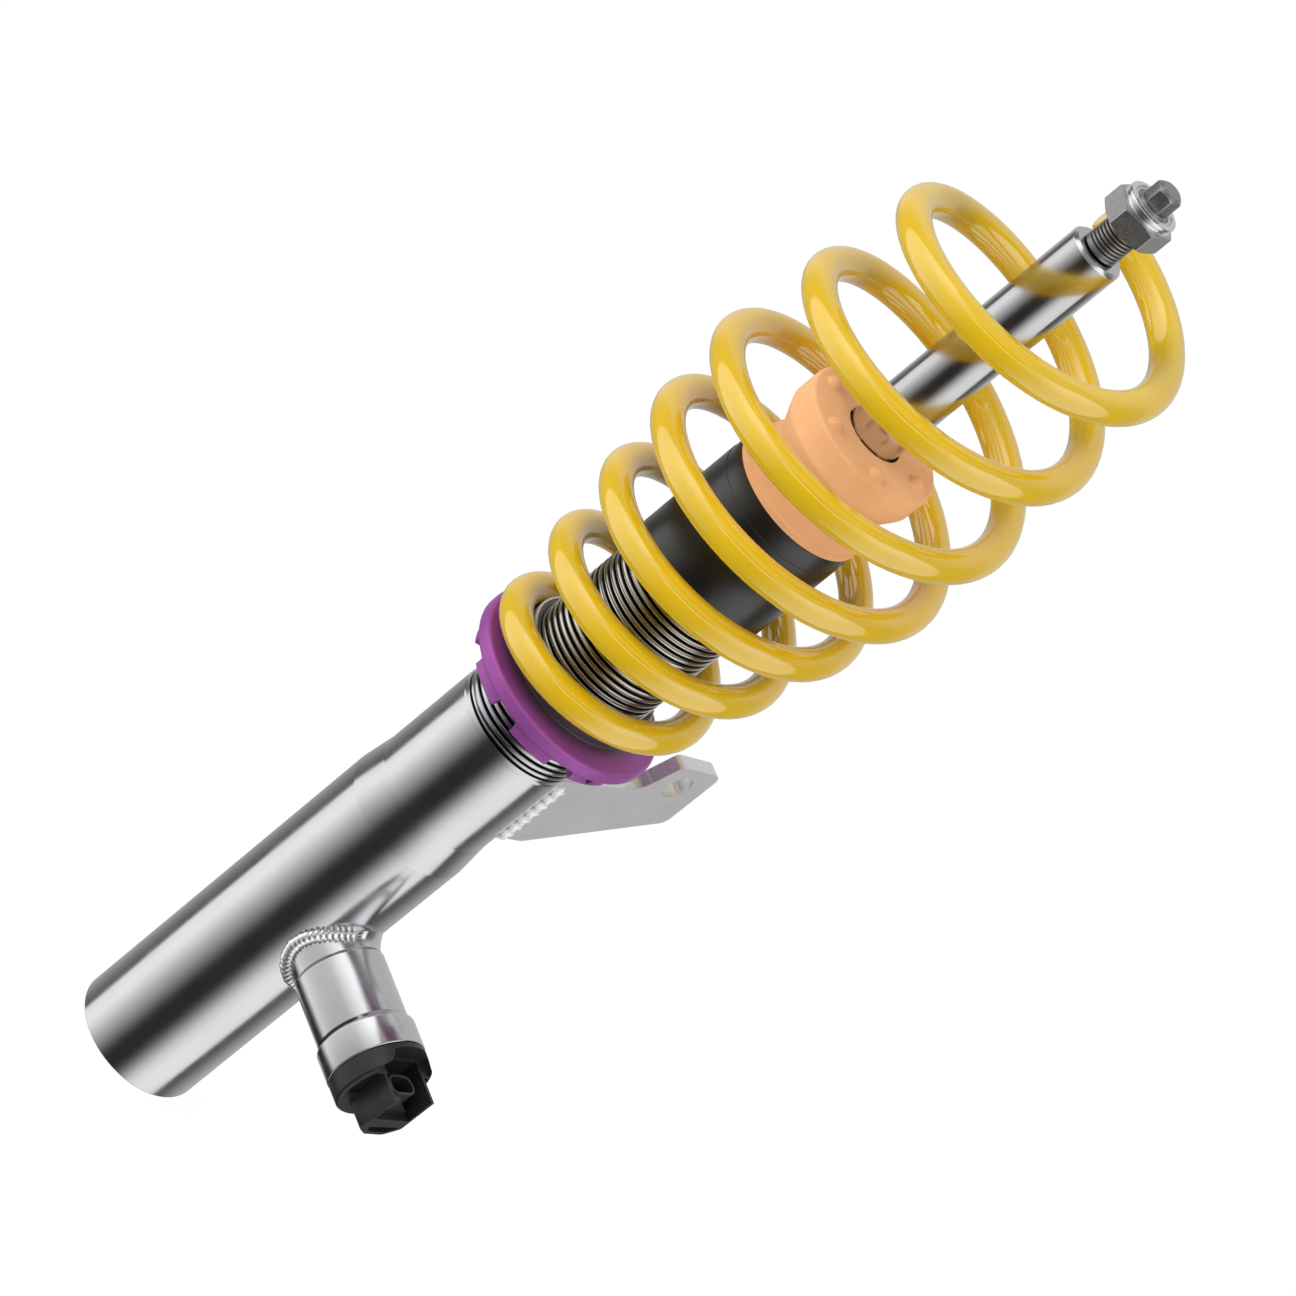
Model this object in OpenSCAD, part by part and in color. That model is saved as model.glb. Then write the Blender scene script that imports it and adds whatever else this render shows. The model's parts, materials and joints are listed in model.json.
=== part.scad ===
// Coilover strut: clamp-in damper tube with an electronic side valve, a threaded
// spring perch, a barrel-shaped coil spring, a foam bump stop and a chromed rod.
// The strut stands upright: +Z runs up the rod, +X points along the side valve,
// and the origin is the centre of the tube's foot.

/* [Strut tube] */
// Outside diameter of the lower tube, which the knuckle clamps
clamp_d = 55; // [46:0.5:66]
// Height of the clamp seat, up to its witness line
clamp_seat_h = 75; // [60:1:78]
// Height at which the full-diameter tube ends
shank_h = 156.6; // [140:1:160]
// Length of the taper above the full-diameter tube
taper_h = 15.1; // [8:1:20]
// Outside diameter of the upper tube and of its thread
thread_d = 52; // [44:0.5:62]
// Wall of the tube
tube_wall = 3; // [2.5:0.1:3.6]
// Height of the tube without its gland nut
tube_h = 340; // [325:1:408]

/* [Damper] */
// Bore of the inner cylinder, in which the piston runs
bore_d = 36; // [30:0.5:37]
// Wall of the inner cylinder
cylinder_wall = 1.5; // [1:0.1:2]
// Gap between the inner cylinder and the feed tube round it
feed_gap = 1.5; // [1.2:0.1:2]
// Wall of the feed tube
feed_wall = 1; // [0.8:0.1:1.2]
// Height of the piston
piston_h = 20; // [16:1:24]
// Compression stroke, from full extension until the top mount meets the bump stop
stroke = 105; // [85:1:126]

/* [Rod] */
// Diameter of the chromed rod
rod_d = 22; // [18:0.5:22.4]
// Gap between the bump stop and the rod's shoulder at full compression
shoulder_gap = 2.8; // [2:0.1:6]
// Diameter of the threaded stud on top of the rod
stud_d = 14; // [12:0.5:16]
// Length of the stud
stud_h = 26; // [22:1:31]
// Size across flats of the hexagonal key on the stud
key_af = 10; // [8:0.5:11]
// Height of the key
key_h = 7.8; // [6:0.1:10]
// Diameter of the threaded stem that carries the piston
stem_d = 12; // [10:0.5:14]

/* [Top nut] */
// Size across flats of the lock nut
nut_af = 22; // [20:0.5:26]
// Height of the nut's hexagon
nut_hex_h = 9.3; // [8:0.1:11]
// Height of the round collar that holds the nylon ring
nut_collar_h = 3; // [2.5:0.1:3.6]
// Height of the nut above the rod's shoulder
nut_rise = 13.2; // [12:0.1:14]

/* [Spring perch] */
// Height of the perch's lower face
perch_h = 233.1; // [229:0.5:245]
// Outside diameter of the notched collar
perch_collar_d = 74; // [66:0.5:80]
// Height of the notched collar
perch_collar_h = 6.5; // [5:0.1:8]
// Number of spanner notches
notch_count = 8; // [6:1:10]
// Width of a spanner notch
notch_w = 12; // [9:0.5:14]
// Outside diameter of the flange under the spring
perch_flange_d = 82; // [78:0.5:98]
// Thickness of the flange
perch_flange_h = 6; // [5:0.1:7.2]
// Height of the hub above the flange
hub_h = 11.4; // [9:0.1:13]
// Wall of the hub
hub_wall = 1.5; // [1.2:0.1:1.8]
// Wall of the slide ring between hub and spring
slide_ring_wall = 1.1; // [0.9:0.1:1.3]

/* [Coil spring] */
// Diameter of the spring wire
wire_d = 12.4; // [10.4:0.1:14.9]
// Turns that lie flat on the perch
seat_turns = 0.25; // [0.2:0.05:0.4]
// Turns wound at the lower pitch
lower_turns = 4; // [3:0.1:4]
// Rise of one lower turn
lower_pitch = 33.1; // [28:0.1:39.7]
// Turns wound at the upper pitch, with the closing end
upper_turns = 2.776; // [2.3:0.001:3.3]
// Rise of one upper turn
upper_pitch = 42; // [36:0.1:50]
// Rise per turn at the closing end
end_pitch = 20; // [16:0.5:30]
// Radius of the widest turn, at the wire's middle
waist_r = 57.9; // [54:0.1:69]
// Radius of the last turn, at the wire's middle
top_r = 48.3; // [46:0.1:52]
// Direction in which the flat turns end
spring_start_deg = -150; // [-180:1:180]

/* [Bump stop] */
// Height of the dust sleeve's lower edge above the tube's foot
sleeve_h = 307; // [303:1:312]
// Wall of the dust sleeve
sleeve_wall = 1.7; // [1.4:0.1:2]
// Height of the sleeve above the gland nut
sleeve_rise = 18; // [16:0.5:20]
// Diameter of the foam's neck
foam_neck_d = 46.6; // [40:0.5:50]
// Diameter of the foam's head
foam_head_d = 58; // [52:0.5:69]
// Height of the foam above the sleeve
foam_h = 37.2; // [30:0.1:42]
// Number of bumps on the foam's top face
bump_count = 6; // [4:1:8]
// Number of vent slots along the foam's bore
vent_count = 5; // [3:1:6]

/* [Side valve] */
// Height of the valve's axis
valve_h = 99.2; // [96:0.1:118]
// Diameter of the welded boss
boss_d = 34; // [32:0.5:36]
// Diameter of the valve housing
housing_d = 35; // [34:0.5:42]
// Length of the valve housing past the boss
housing_len = 28.3; // [27:0.1:34]
// Diameter of the crimp collar
crimp_d = 38; // [37.5:0.1:45.6]
// Length of the crimp collar
crimp_len = 12.6; // [12:0.1:15.2]
// Length of the connector's round base
base_len = 8.8; // [8:0.1:10.6]
// Reach of the connector block past its round base
block_len = 11.3; // [10:0.1:15.6]
// Diameter of the valve spool
spool_d = 10; // [8:0.1:11]
// Travel of the valve spool
spool_travel = 1.5; // [1:0.1:1.5]

/* [Link bracket] */
// Thickness of the bracket plate
bracket_t = 6.1; // [4:0.1:7.4]
// Distance of the plate's outer face from the strut's axis
bracket_x = 22; // [20:0.1:24]
// Reach of the bracket from the strut's axis
bracket_reach = 85.8; // [84:0.1:100]
// Height of the bracket's lower edge at the tube
bracket_low_h = 178; // [175:0.5:182]
// Height of the bracket's top corner
bracket_top_h = 233.7; // [230:0.1:236]
// Diameter of the hole for the stabiliser link
link_hole_d = 12.5; // [10:0.1:14]
// Distance of that hole from the plate's outer end
link_hole_edge = 15.1; // [14:0.1:20]
// Height of that hole
link_hole_h = 221.5; // [220:0.1:223]

/* [Hidden] */
$fn = 72;

// Fits
run_gap = 0.05;       // radial gap of a running fit
free_gap = 0.3;       // gap between faces that never touch
eps = 1;              // how far a cut runs past the face that it opens

// Strut tube
clamp_r = clamp_d / 2;
thread_r = thread_d / 2;
clamp_bore_r = clamp_r - tube_wall;
thread_bore_r = thread_r - tube_wall;
taper_top = shank_h + taper_h;
witness_w = 1.2;
witness_depth = 0.2;
cap_h = 6;

// Damper: heights grow from the base valve up, and from the tube's top down
bore_r = bore_d / 2;
cylinder_r = bore_r + cylinder_wall;
feed_bore_r = cylinder_r + feed_gap;
feed_r = feed_bore_r + feed_wall;
base_skirt_h = 3;
base_flange_top = cap_h + 10;
base_spigot_h = 4;
base_bolt_r = 3;
guide_h = 12;
guide_bottom = tube_h - 10 - guide_h;
guide_top = guide_bottom + guide_h;
spigot_h = 7;
bush_wall = 1.5;
seal_h = 7;
gland_collar_h = 5;
gland_top = tube_h + gland_collar_h;
feed_seal_h = 4;
feed_bottom = 60;
feed_top = guide_bottom - spigot_h - 3;
feed_hole_h = feed_top - 10;
feed_hole_d = 4;

// Heights of the dust sleeve's and the foam's tops, which the stroke starts from
sleeve_top = gland_top + sleeve_rise;
foam_top = sleeve_top + foam_h;

// Rod and piston at full extension
rod_r = rod_d / 2;
stud_r = stud_d / 2;
stem_r = stem_d / 2;
bush_r = rod_r + run_gap;
buffer_h = 10;
buffer_top = guide_bottom - spigot_h - free_gap;
stop_h = 5;
stop_bottom = buffer_top - buffer_h - stop_h;
shim_h = 2;
piston_top = stop_bottom - 10;
piston_bottom = piston_top - piston_h;
rod_bottom = piston_top + shim_h;
stem_bottom = piston_bottom - shim_h - 18;
shoulder_h = foam_top + stroke + shoulder_gap;
undercut_h = 2.5;
stud_top = shoulder_h + stud_h;
key_top = stud_top + key_h;
piston_r = bore_r - 0.6;
band_r = bore_r - run_gap;
band_wall = 1.6;
band_h = 9;

// Top nut
nut_bottom = shoulder_h + nut_rise;
nut_hex_top = nut_bottom + nut_hex_h;
nut_top = nut_hex_top + nut_collar_h;
nut_turn_deg = -22;
insert_h = 2.2;
insert_wall = 1.6;

// Perch and slide ring
perch_bore_r = thread_r + run_gap;
hub_r = thread_r + hub_wall + 0.1;
slide_bore_r = hub_r + run_gap;
slide_r = slide_bore_r + slide_ring_wall;
flange_bottom = perch_h + perch_collar_h;
flange_top = flange_bottom + perch_flange_h;
hub_top = flange_top + hub_h;
perch_rim = 1.5;
screw_r = 2;

// Coil spring: one wire swept along a barrel-shaped helix
wire_r = wire_d / 2;
spring_rings_per_turn = 24;
spring_sides = 10;
spring_start_r = slide_r + free_gap + wire_r;
spring_start_h = flange_top + run_gap + wire_r;
spring_turns = lower_turns + upper_turns;
spring_rings = ceil((seat_turns + spring_turns) * spring_rings_per_turn);
waist_h = spring_start_h + lower_turns * lower_pitch - 6;
pitch_blend = 0.25;
waist_blend = 12;

// Foam bump stop and dust sleeve
sleeve_bore_r = thread_r + free_gap;
sleeve_r = sleeve_bore_r + sleeve_wall;
sleeve_web_bottom = gland_top + 0.3;
sleeve_web_h = 3;
foam_bottom = sleeve_web_bottom + sleeve_web_h;
foam_bore_r = rod_r + 0.1;
foam_head_r = foam_head_d / 2;
foam_neck_r = foam_neck_d / 2;
foam_lip = 2.5;
foam_neck_h = sleeve_top + foam_h * 0.42;
foam_head_h = sleeve_top + foam_h * 0.707;
foam_rim = 3;
bump_r = 3;
bump_circle_r = (foam_head_r + foam_bore_r + 4.3) / 2;
vent_depth = 1.2;
vent_deg = 45;

// Side valve: distances from the strut's axis, which its own axis crosses
boss_r = boss_d / 2;
boss_end = clamp_r + 5.2;
boss_bore_r = 12.5;
weld_leg = 2.2;
housing_r = housing_d / 2;
housing_end = boss_end + housing_len;
housing_bore_r = housing_r - 3;
housing_floor = 4;
crimp_r = crimp_d / 2;
crimp_end = housing_end + crimp_len;
crimp_seat_r = housing_r - 1;
crimp_seat_len = 6.5;
plug_r = housing_r - 0.3;
base_r = crimp_r - 0.25;
base_start = crimp_end + 0.3;
base_end = base_start + base_len;
block_end = base_end + block_len;
nose_r = 6;
nose_start = feed_bore_r - 0.4;
nose_fit = 0.05;
cartridge_r = boss_bore_r - 0.1;
cartridge_start = clamp_r - 2.9;
cartridge_flange_h = 3;
cartridge_end = boss_end + housing_floor + cartridge_flange_h;
spool_r = spool_d / 2;
spool_start = cartridge_start + 1.6;
pole_disc_h = 3.4;
pole_end = housing_end + 4;
pole_disc_start = pole_end - pole_disc_h;
bobbin_start = cartridge_end + 0.5;
bobbin_bore_r = 8;
bobbin_wall = 1;
bobbin_cheek = 1;
armature_r = bobbin_bore_r - run_gap;
armature_start = cartridge_end + 0.8;
armature_len = 6.4;
armature_end = armature_start + armature_len;
pole_start = armature_end + spool_travel + 0.3;
spring_pocket_r = 4;
spring_pocket_depth = 4;
socket_x = base_end + 3;
socket_len = 7;
socket_w = 12.4;
socket_wall = 0.8;
socket_rim = 8.3;
socket_floor = -1;

// Link bracket: the outline lies in the plane that faces the valve's way
bracket_corner_r = 3;
bracket_low_out_h = bracket_low_h + 22.5;
bracket_neck_y = 54.8;
bracket_neck_h = 216.8;
link_hole_y = bracket_reach - link_hole_edge;

// A tube, or a ring, from one height to another
module tube_piece(inner_r, outer_r, low, high) {
    translate([0, 0, low])
        difference() {
            cylinder(r = outer_r, h = high - low);
            translate([0, 0, -eps])
                cylinder(r = inner_r, h = high - low + 2 * eps);
        }
}

// A body turned from an outline of radius and height
module turned(outline) {
    rotate_extrude()
        polygon(outline);
}

// Puts children that point up Z onto the valve's axis, pointing along X
module on_valve_axis() {
    translate([0, 0, valve_h])
        rotate([0, 90, 0])
            children();
}

// A hexagonal prism with one corner in the direction turn_deg
module hexagon(across_flats, low, high, turn_deg) {
    translate([0, 0, low])
        rotate([0, 0, turn_deg])
            cylinder(r = across_flats / sqrt(3), h = high - low, $fn = 6);
}

// The solid cylinder that the lower tube's outside fills
module clamp_cylinder(extra = 0) {
    cylinder(r = clamp_r + extra, h = shank_h);
}

// The points of an outline whose corners are rounded: each corner is [y, z, radius]
function unit(v) = v / norm(v);
function corner_arc(before, corner, after, radius) =
    let (to_before = unit(before - corner),
         to_after = unit(after - corner),
         half = acos(to_before * to_after) / 2,
         centre = corner + unit(to_before + to_after) * radius / sin(half),
         first = corner + to_before * radius / tan(half),
         last = corner + to_after * radius / tan(half),
         steps = 8)
    [for (i = [0:steps])
        let (chord = first + (last - first) * i / steps)
        centre + unit(chord - centre) * radius];
function rounded(corners) =
    let (n = len(corners))
    [for (i = [0:n - 1])
        let (c = corners[i],
             b = corners[(i + n - 1) % n],
             a = corners[(i + 1) % n])
        each (c[2] == 0 ? [[c[0], c[1]]]
              : corner_arc([b[0], b[1]], [c[0], c[1]], [a[0], a[1]], c[2]))];

module strut_tube() {
    color([0.72, 0.73, 0.74])
        difference() {
            turned([
                [clamp_bore_r, 0],
                [clamp_r, 0],
                [clamp_r, clamp_seat_h],
                [clamp_r - witness_depth, clamp_seat_h + witness_w / 2],
                [clamp_r, clamp_seat_h + witness_w],
                [clamp_r, shank_h],
                [thread_r, taper_top],
                [thread_r, tube_h],
                [thread_bore_r, tube_h],
                [thread_bore_r, taper_top],
                [clamp_bore_r, shank_h]
            ]);
            on_valve_axis()
                cylinder(r = boss_bore_r, h = clamp_r + eps);
        }
}

module bottom_cap() {
    color([0.6, 0.61, 0.63])
        turned([
            [0, 0],
            [clamp_bore_r, 0],
            [clamp_bore_r, cap_h - 1.5],
            [clamp_bore_r - 1.5, cap_h],
            [0, cap_h]
        ]);
}

module base_valve_body() {
    port_circle_r = bore_r * 0.66;
    color([0.55, 0.56, 0.58])
        difference() {
            turned([
                [base_bolt_r + run_gap, cap_h + base_skirt_h],
                [bore_r - 1, cap_h + base_skirt_h],
                [bore_r - 1, cap_h],
                [cylinder_r, cap_h],
                [cylinder_r, base_flange_top],
                [bore_r, base_flange_top],
                [bore_r, base_flange_top + base_spigot_h],
                [base_bolt_r + run_gap, base_flange_top + base_spigot_h]
            ]);
            for (i = [0:5])
                rotate([0, 0, i * 60])
                    translate([port_circle_r, 0, cap_h])
                        cylinder(d = 4, h = 20);
            for (i = [0:3])
                rotate([0, 0, i * 90])
                    translate([0, -3, cap_h - eps])
                        cube([cylinder_r + eps, 6, 2 + eps]);
        }
}

module base_valve_discs() {
    color([0.7, 0.72, 0.76])
        tube_piece(
            base_bolt_r + run_gap,
            bore_r - 3,
            base_flange_top + base_spigot_h,
            base_flange_top + base_spigot_h + 1.5
        );
}

module base_valve_bolt() {
    head_bottom = base_flange_top + base_spigot_h + 1.5;
    color([0.45, 0.46, 0.48]) {
        translate([0, 0, cap_h + base_skirt_h])
            cylinder(r = base_bolt_r, h = head_bottom - cap_h - base_skirt_h);
        hexagon(10, head_bottom, head_bottom + 4, 0);
    }
}

module inner_cylinder() {
    color([0.66, 0.68, 0.7])
        difference() {
            tube_piece(bore_r, cylinder_r, base_flange_top, guide_bottom);
            for (i = [0:5])
                translate([0, 0, feed_hole_h])
                    rotate([0, 90, i * 60])
                        cylinder(d = feed_hole_d, h = cylinder_r + eps);
        }
}

module feed_tube() {
    color([0.6, 0.63, 0.68])
        difference() {
            tube_piece(feed_bore_r, feed_r, feed_bottom, feed_top);
            on_valve_axis()
                cylinder(r = nose_r + nose_fit, h = feed_r + eps);
        }
}

module feed_tube_seals() {
    color([0.12, 0.12, 0.12]) {
        tube_piece(cylinder_r, feed_bore_r, feed_bottom + 2, feed_bottom + 2 + feed_seal_h);
        tube_piece(cylinder_r, feed_bore_r, feed_top - 2 - feed_seal_h, feed_top - 2);
    }
}

module rod_guide() {
    groove_low = guide_bottom + 4;
    groove_high = groove_low + 2.2;
    groove_r = thread_bore_r - 1.9;
    color([0.62, 0.62, 0.6])
        turned([
            [bush_r + bush_wall, guide_bottom - spigot_h],
            [bore_r, guide_bottom - spigot_h],
            [bore_r, guide_bottom],
            [thread_bore_r, guide_bottom],
            [thread_bore_r, groove_low],
            [groove_r, groove_low],
            [groove_r, groove_high],
            [thread_bore_r, groove_high],
            [thread_bore_r, guide_top],
            [bush_r + bush_wall, guide_top]
        ]);
}

module guide_bush() {
    color([0.55, 0.42, 0.25])
        tube_piece(bush_r, bush_r + bush_wall, guide_bottom - spigot_h + 1, guide_top - 2);
}

module guide_o_ring() {
    section_r = 0.9;
    color([0.1, 0.1, 0.1])
        translate([0, 0, guide_bottom + 5.1])
            rotate_extrude()
                translate([thread_bore_r - section_r - 0.05, 0])
                    circle(r = section_r, $fn = 24);
}

module rod_seal() {
    color([0.14, 0.14, 0.15])
        turned([
            [rod_r + run_gap, guide_top],
            [rod_r + 6, guide_top],
            [rod_r + 8, guide_top + 2],
            [rod_r + 8, guide_top + seal_h],
            [rod_r + 2, guide_top + seal_h],
            [rod_r + run_gap, guide_top + seal_h - 2]
        ]);
}

module gland_nut() {
    color([0.5, 0.5, 0.52])
        difference() {
            turned([
                [rod_r + 8, guide_top],
                [thread_bore_r, guide_top],
                [thread_bore_r, tube_h],
                [thread_r - 0.5, tube_h],
                [thread_r - 0.5, gland_top - 1],
                [thread_r - 1.5, gland_top],
                [rod_r + 0.6, gland_top],
                [rod_r + 0.6, guide_top + seal_h],
                [rod_r + 8, guide_top + seal_h]
            ]);
            for (i = [0:3])
                rotate([0, 0, 45 + i * 90])
                    translate([(thread_r + rod_r) / 2 + 1, 0, gland_top - 4])
                        cylinder(d = 5, h = 4 + eps);
        }
}

module valve_boss() {
    color([0.68, 0.69, 0.7])
        difference() {
            on_valve_axis()
                cylinder(r = boss_r, h = boss_end);
            clamp_cylinder();
            on_valve_axis()
                cylinder(r = boss_bore_r, h = boss_end + eps);
        }
}

module boss_weld_bead() {
    color([0.76, 0.76, 0.77])
        difference() {
            intersection() {
                on_valve_axis()
                    cylinder(r = boss_r + weld_leg, h = boss_end);
                clamp_cylinder(weld_leg);
            }
            clamp_cylinder();
            on_valve_axis()
                cylinder(r = boss_r, h = boss_end + eps);
        }
}

module link_bracket() {
    outline = rounded([
        [thread_r - 16, bracket_low_h, 0],
        [28, bracket_low_h - 0.5, 2],
        [bracket_reach, bracket_low_out_h, bracket_corner_r],
        [bracket_reach, bracket_top_h - 2.2, bracket_corner_r],
        [bracket_neck_y + 6.8, bracket_top_h, bracket_corner_r],
        [bracket_neck_y - 1, bracket_neck_h, 8],
        [thread_r - 16, bracket_neck_h - 2, 0]
    ]);
    color([0.68, 0.68, 0.69])
        difference() {
            translate([bracket_x, 0, 0])
                rotate([90, 0, -90])
                    mirror([1, 0, 0])
                        linear_extrude(bracket_t)
                            polygon(outline);
            translate([0, 0, taper_top])
                cylinder(r = thread_r, h = thread_d * 2);
            translate([bracket_x - bracket_t - eps, link_hole_y, link_hole_h])
                rotate([0, 90, 0])
                    cylinder(d = link_hole_d, h = bracket_t + 2 * eps);
        }
}

// A fillet weld along the joint between the tube and one face of the bracket
module bracket_bead(face_x, way) {
    joint_y = sqrt(thread_r * thread_r - face_x * face_x);
    leg = 3.4;
    difference() {
        translate([face_x, joint_y - 2, bracket_low_h + 1.5])
            linear_extrude(bracket_neck_h - bracket_low_h - 5)
                polygon([[0, 0], [0, leg + 2.4], [way * leg, 0]]);
        translate([0, 0, taper_top])
            cylinder(r = thread_r, h = thread_d * 2);
    }
}

module bracket_weld_beads() {
    color([0.8, 0.8, 0.81]) {
        bracket_bead(bracket_x, 1);
        bracket_bead(bracket_x - bracket_t, -1);
    }
}

module valve_body() {
    groove_x = boss_end + 1.2;
    color([0.5, 0.52, 0.55])
        on_valve_axis()
            difference() {
                turned([
                    [3, nose_start],
                    [nose_r, nose_start],
                    [nose_r, cartridge_start],
                    [cartridge_r, cartridge_start],
                    [cartridge_r, groove_x],
                    [cartridge_r - 1.7, groove_x],
                    [cartridge_r - 1.7, groove_x + 2],
                    [cartridge_r, groove_x + 2],
                    [cartridge_r, boss_end + housing_floor],
                    [housing_bore_r - 0.1, boss_end + housing_floor],
                    [housing_bore_r - 0.1, cartridge_end],
                    [spool_r + run_gap, cartridge_end],
                    [spool_r + run_gap, spool_start - 0.5],
                    [3, spool_start - 0.5]
                ]);
                for (i = [0:3])
                    translate([0, 0, cartridge_start + 4])
                        rotate([0, 90, 45 + i * 90])
                            cylinder(d = 3, h = cartridge_r + eps);
            }
}

module valve_o_rings() {
    section_r = 0.8;
    color([0.1, 0.1, 0.1])
        on_valve_axis()
            translate([0, 0, boss_end + 2.2])
                rotate_extrude()
                    translate([cartridge_r - section_r - 0.02, 0])
                        circle(r = section_r, $fn = 24);
}

module valve_housing() {
    color([0.7, 0.71, 0.72])
        on_valve_axis()
            turned([
                [boss_bore_r, boss_end],
                [boss_r, boss_end],
                [housing_r, boss_end + 0.6],
                [housing_r, housing_end - 1.6],
                [housing_r - 0.5, housing_end - 1.1],
                [housing_r - 0.5, housing_end],
                [crimp_seat_r, housing_end],
                [crimp_seat_r, housing_end + crimp_seat_len],
                [housing_bore_r, housing_end + crimp_seat_len],
                [housing_bore_r, boss_end + housing_floor],
                [boss_bore_r, boss_end + housing_floor]
            ]);
}

module coil_bobbin() {
    cheek_r = housing_bore_r - 0.2;
    sleeve_r_out = bobbin_bore_r + bobbin_wall;
    bobbin_end = pole_disc_start;
    color([0.2, 0.22, 0.2])
        on_valve_axis()
            turned([
                [bobbin_bore_r, bobbin_start],
                [cheek_r, bobbin_start],
                [cheek_r, bobbin_start + bobbin_cheek],
                [sleeve_r_out, bobbin_start + bobbin_cheek],
                [sleeve_r_out, bobbin_end - bobbin_cheek],
                [cheek_r, bobbin_end - bobbin_cheek],
                [cheek_r, bobbin_end],
                [bobbin_bore_r, bobbin_end]
            ]);
}

module solenoid_coil() {
    color([0.72, 0.4, 0.18])
        on_valve_axis()
            tube_piece(
                bobbin_bore_r + bobbin_wall,
                housing_bore_r - 0.7,
                bobbin_start + bobbin_cheek,
                pole_disc_start - bobbin_cheek
            );
}

module pole_piece() {
    color([0.5, 0.5, 0.53])
        on_valve_axis()
            turned([
                [spring_pocket_r, pole_start],
                [bobbin_bore_r, pole_start],
                [bobbin_bore_r, pole_disc_start],
                [housing_bore_r, pole_disc_start],
                [housing_bore_r, pole_end],
                [0, pole_end],
                [0, pole_start + spring_pocket_depth],
                [spring_pocket_r, pole_start + spring_pocket_depth]
            ]);
}

module spool_spring() {
    color([0.6, 0.62, 0.65])
        on_valve_axis()
            tube_piece(
                spring_pocket_r - 1,
                spring_pocket_r - 0.3,
                armature_end - spring_pocket_depth + spool_travel + 0.3,
                pole_start + spring_pocket_depth
            );
}

module valve_spool() {
    color([0.8, 0.8, 0.78])
        on_valve_axis()
            turned([
                [0, spool_start],
                [spool_r, spool_start],
                [spool_r, spool_start + 2],
                [spool_r - 1, spool_start + 2],
                [spool_r - 1, spool_start + 5],
                [spool_r, spool_start + 5],
                [spool_r, armature_start],
                [0, armature_start]
            ]);
}

module armature() {
    color([0.45, 0.46, 0.5])
        on_valve_axis()
            turned([
                [0, armature_start],
                [armature_r, armature_start],
                [armature_r, armature_end],
                [spring_pocket_r, armature_end],
                [spring_pocket_r, armature_end - spring_pocket_depth],
                [0, armature_end - spring_pocket_depth]
            ]);
}

module crimp_collar() {
    color([0.74, 0.74, 0.75])
        on_valve_axis()
            turned([
                [crimp_seat_r, housing_end],
                [crimp_r - 0.6, housing_end],
                [crimp_r, housing_end + 0.6],
                [crimp_r, crimp_end - 0.6],
                [crimp_r - 0.6, crimp_end],
                [plug_r, crimp_end],
                [plug_r, housing_end + crimp_seat_len],
                [crimp_seat_r, housing_end + crimp_seat_len]
            ]);
}

module connector_seal() {
    section_r = 0.8;
    color([0.1, 0.1, 0.1])
        on_valve_axis()
            translate([0, 0, crimp_end - 2.6])
                rotate_extrude()
                    translate([plug_r - section_r - 0.02, 0])
                        circle(r = section_r, $fn = 24);
}

// The connector's block, looking along the valve: each corner is [across, up]
block_outline = [[-9.5, -7], [-4, -12], [7, -12], [10.9, -8], [10.9, -3], [-9.5, -3]];
// The socket's outline, looking down into it: each corner is [along, across, radius]
function socket_outline(inset) = rounded([
    [socket_x - socket_len / 2 + inset, -socket_w / 2 + inset, 3],
    [socket_x + socket_len / 2 - inset, -socket_w / 2 + inset, 1.6],
    [socket_x + socket_len / 2 - inset, socket_w / 2 - inset, 1.6],
    [socket_x - socket_len / 2 + inset, socket_w / 2 - inset, 3]
]);

module connector_housing() {
    plug_start = housing_end + crimp_seat_len + 0.05;
    color([0.13, 0.13, 0.14])
        difference() {
            union() {
                on_valve_axis()
                    turned([
                        [0, plug_start],
                        [plug_r, plug_start],
                        [plug_r, crimp_end - 3.6],
                        [plug_r - 1.7, crimp_end - 3.6],
                        [plug_r - 1.7, crimp_end - 1.6],
                        [plug_r, crimp_end - 1.6],
                        [plug_r, base_start],
                        [base_r, base_start],
                        [base_r, base_end - 1.5],
                        [base_r - 1.5, base_end],
                        [0, base_end]
                    ]);
                translate([base_end - 1, 0, valve_h])
                    rotate([90, 0, 90])
                        linear_extrude(block_len + 1)
                            polygon(block_outline);
                translate([base_end - 1, -9.5, valve_h - 4])
                    cube([block_len + 1, 1.2, 13.6]);
                translate([base_end - 1, 9.7, valve_h - 4])
                    cube([block_len + 1, 1.2, 14.2]);
                translate([0, 0, valve_h - 4])
                    linear_extrude(socket_rim + 4)
                        polygon(socket_outline(0));
            }
            translate([base_start + 1.8, -10, valve_h + 10.2])
                cube([base_len, 23.5, base_r]);
            translate([0, 0, valve_h + socket_floor])
                linear_extrude(base_r)
                    polygon(socket_outline(socket_wall));
            pin_places()
                pin(1);
            translate([block_end - 3, -5, valve_h - 8.6])
                cube([3 + eps, 14, 1.6]);
        }
}

// The two contact blades stand in the socket's floor
module pin_places() {
    for (side = [-1, 1])
        translate([socket_x - 0.4, side * 2.4 - 0.9, valve_h + socket_floor - 4])
            children();
}

module pin(stretch) {
    cube([0.8, 1.8, 4 + 3.2 * stretch]);
}

module contact_pins() {
    color([0.8, 0.68, 0.35])
        pin_places()
            pin(1);
}

module piston_band() {
    middle = (piston_bottom + piston_top) / 2;
    color([0.25, 0.3, 0.3])
        tube_piece(band_r - band_wall, band_r, middle - band_h / 2, middle + band_h / 2);
}

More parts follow.
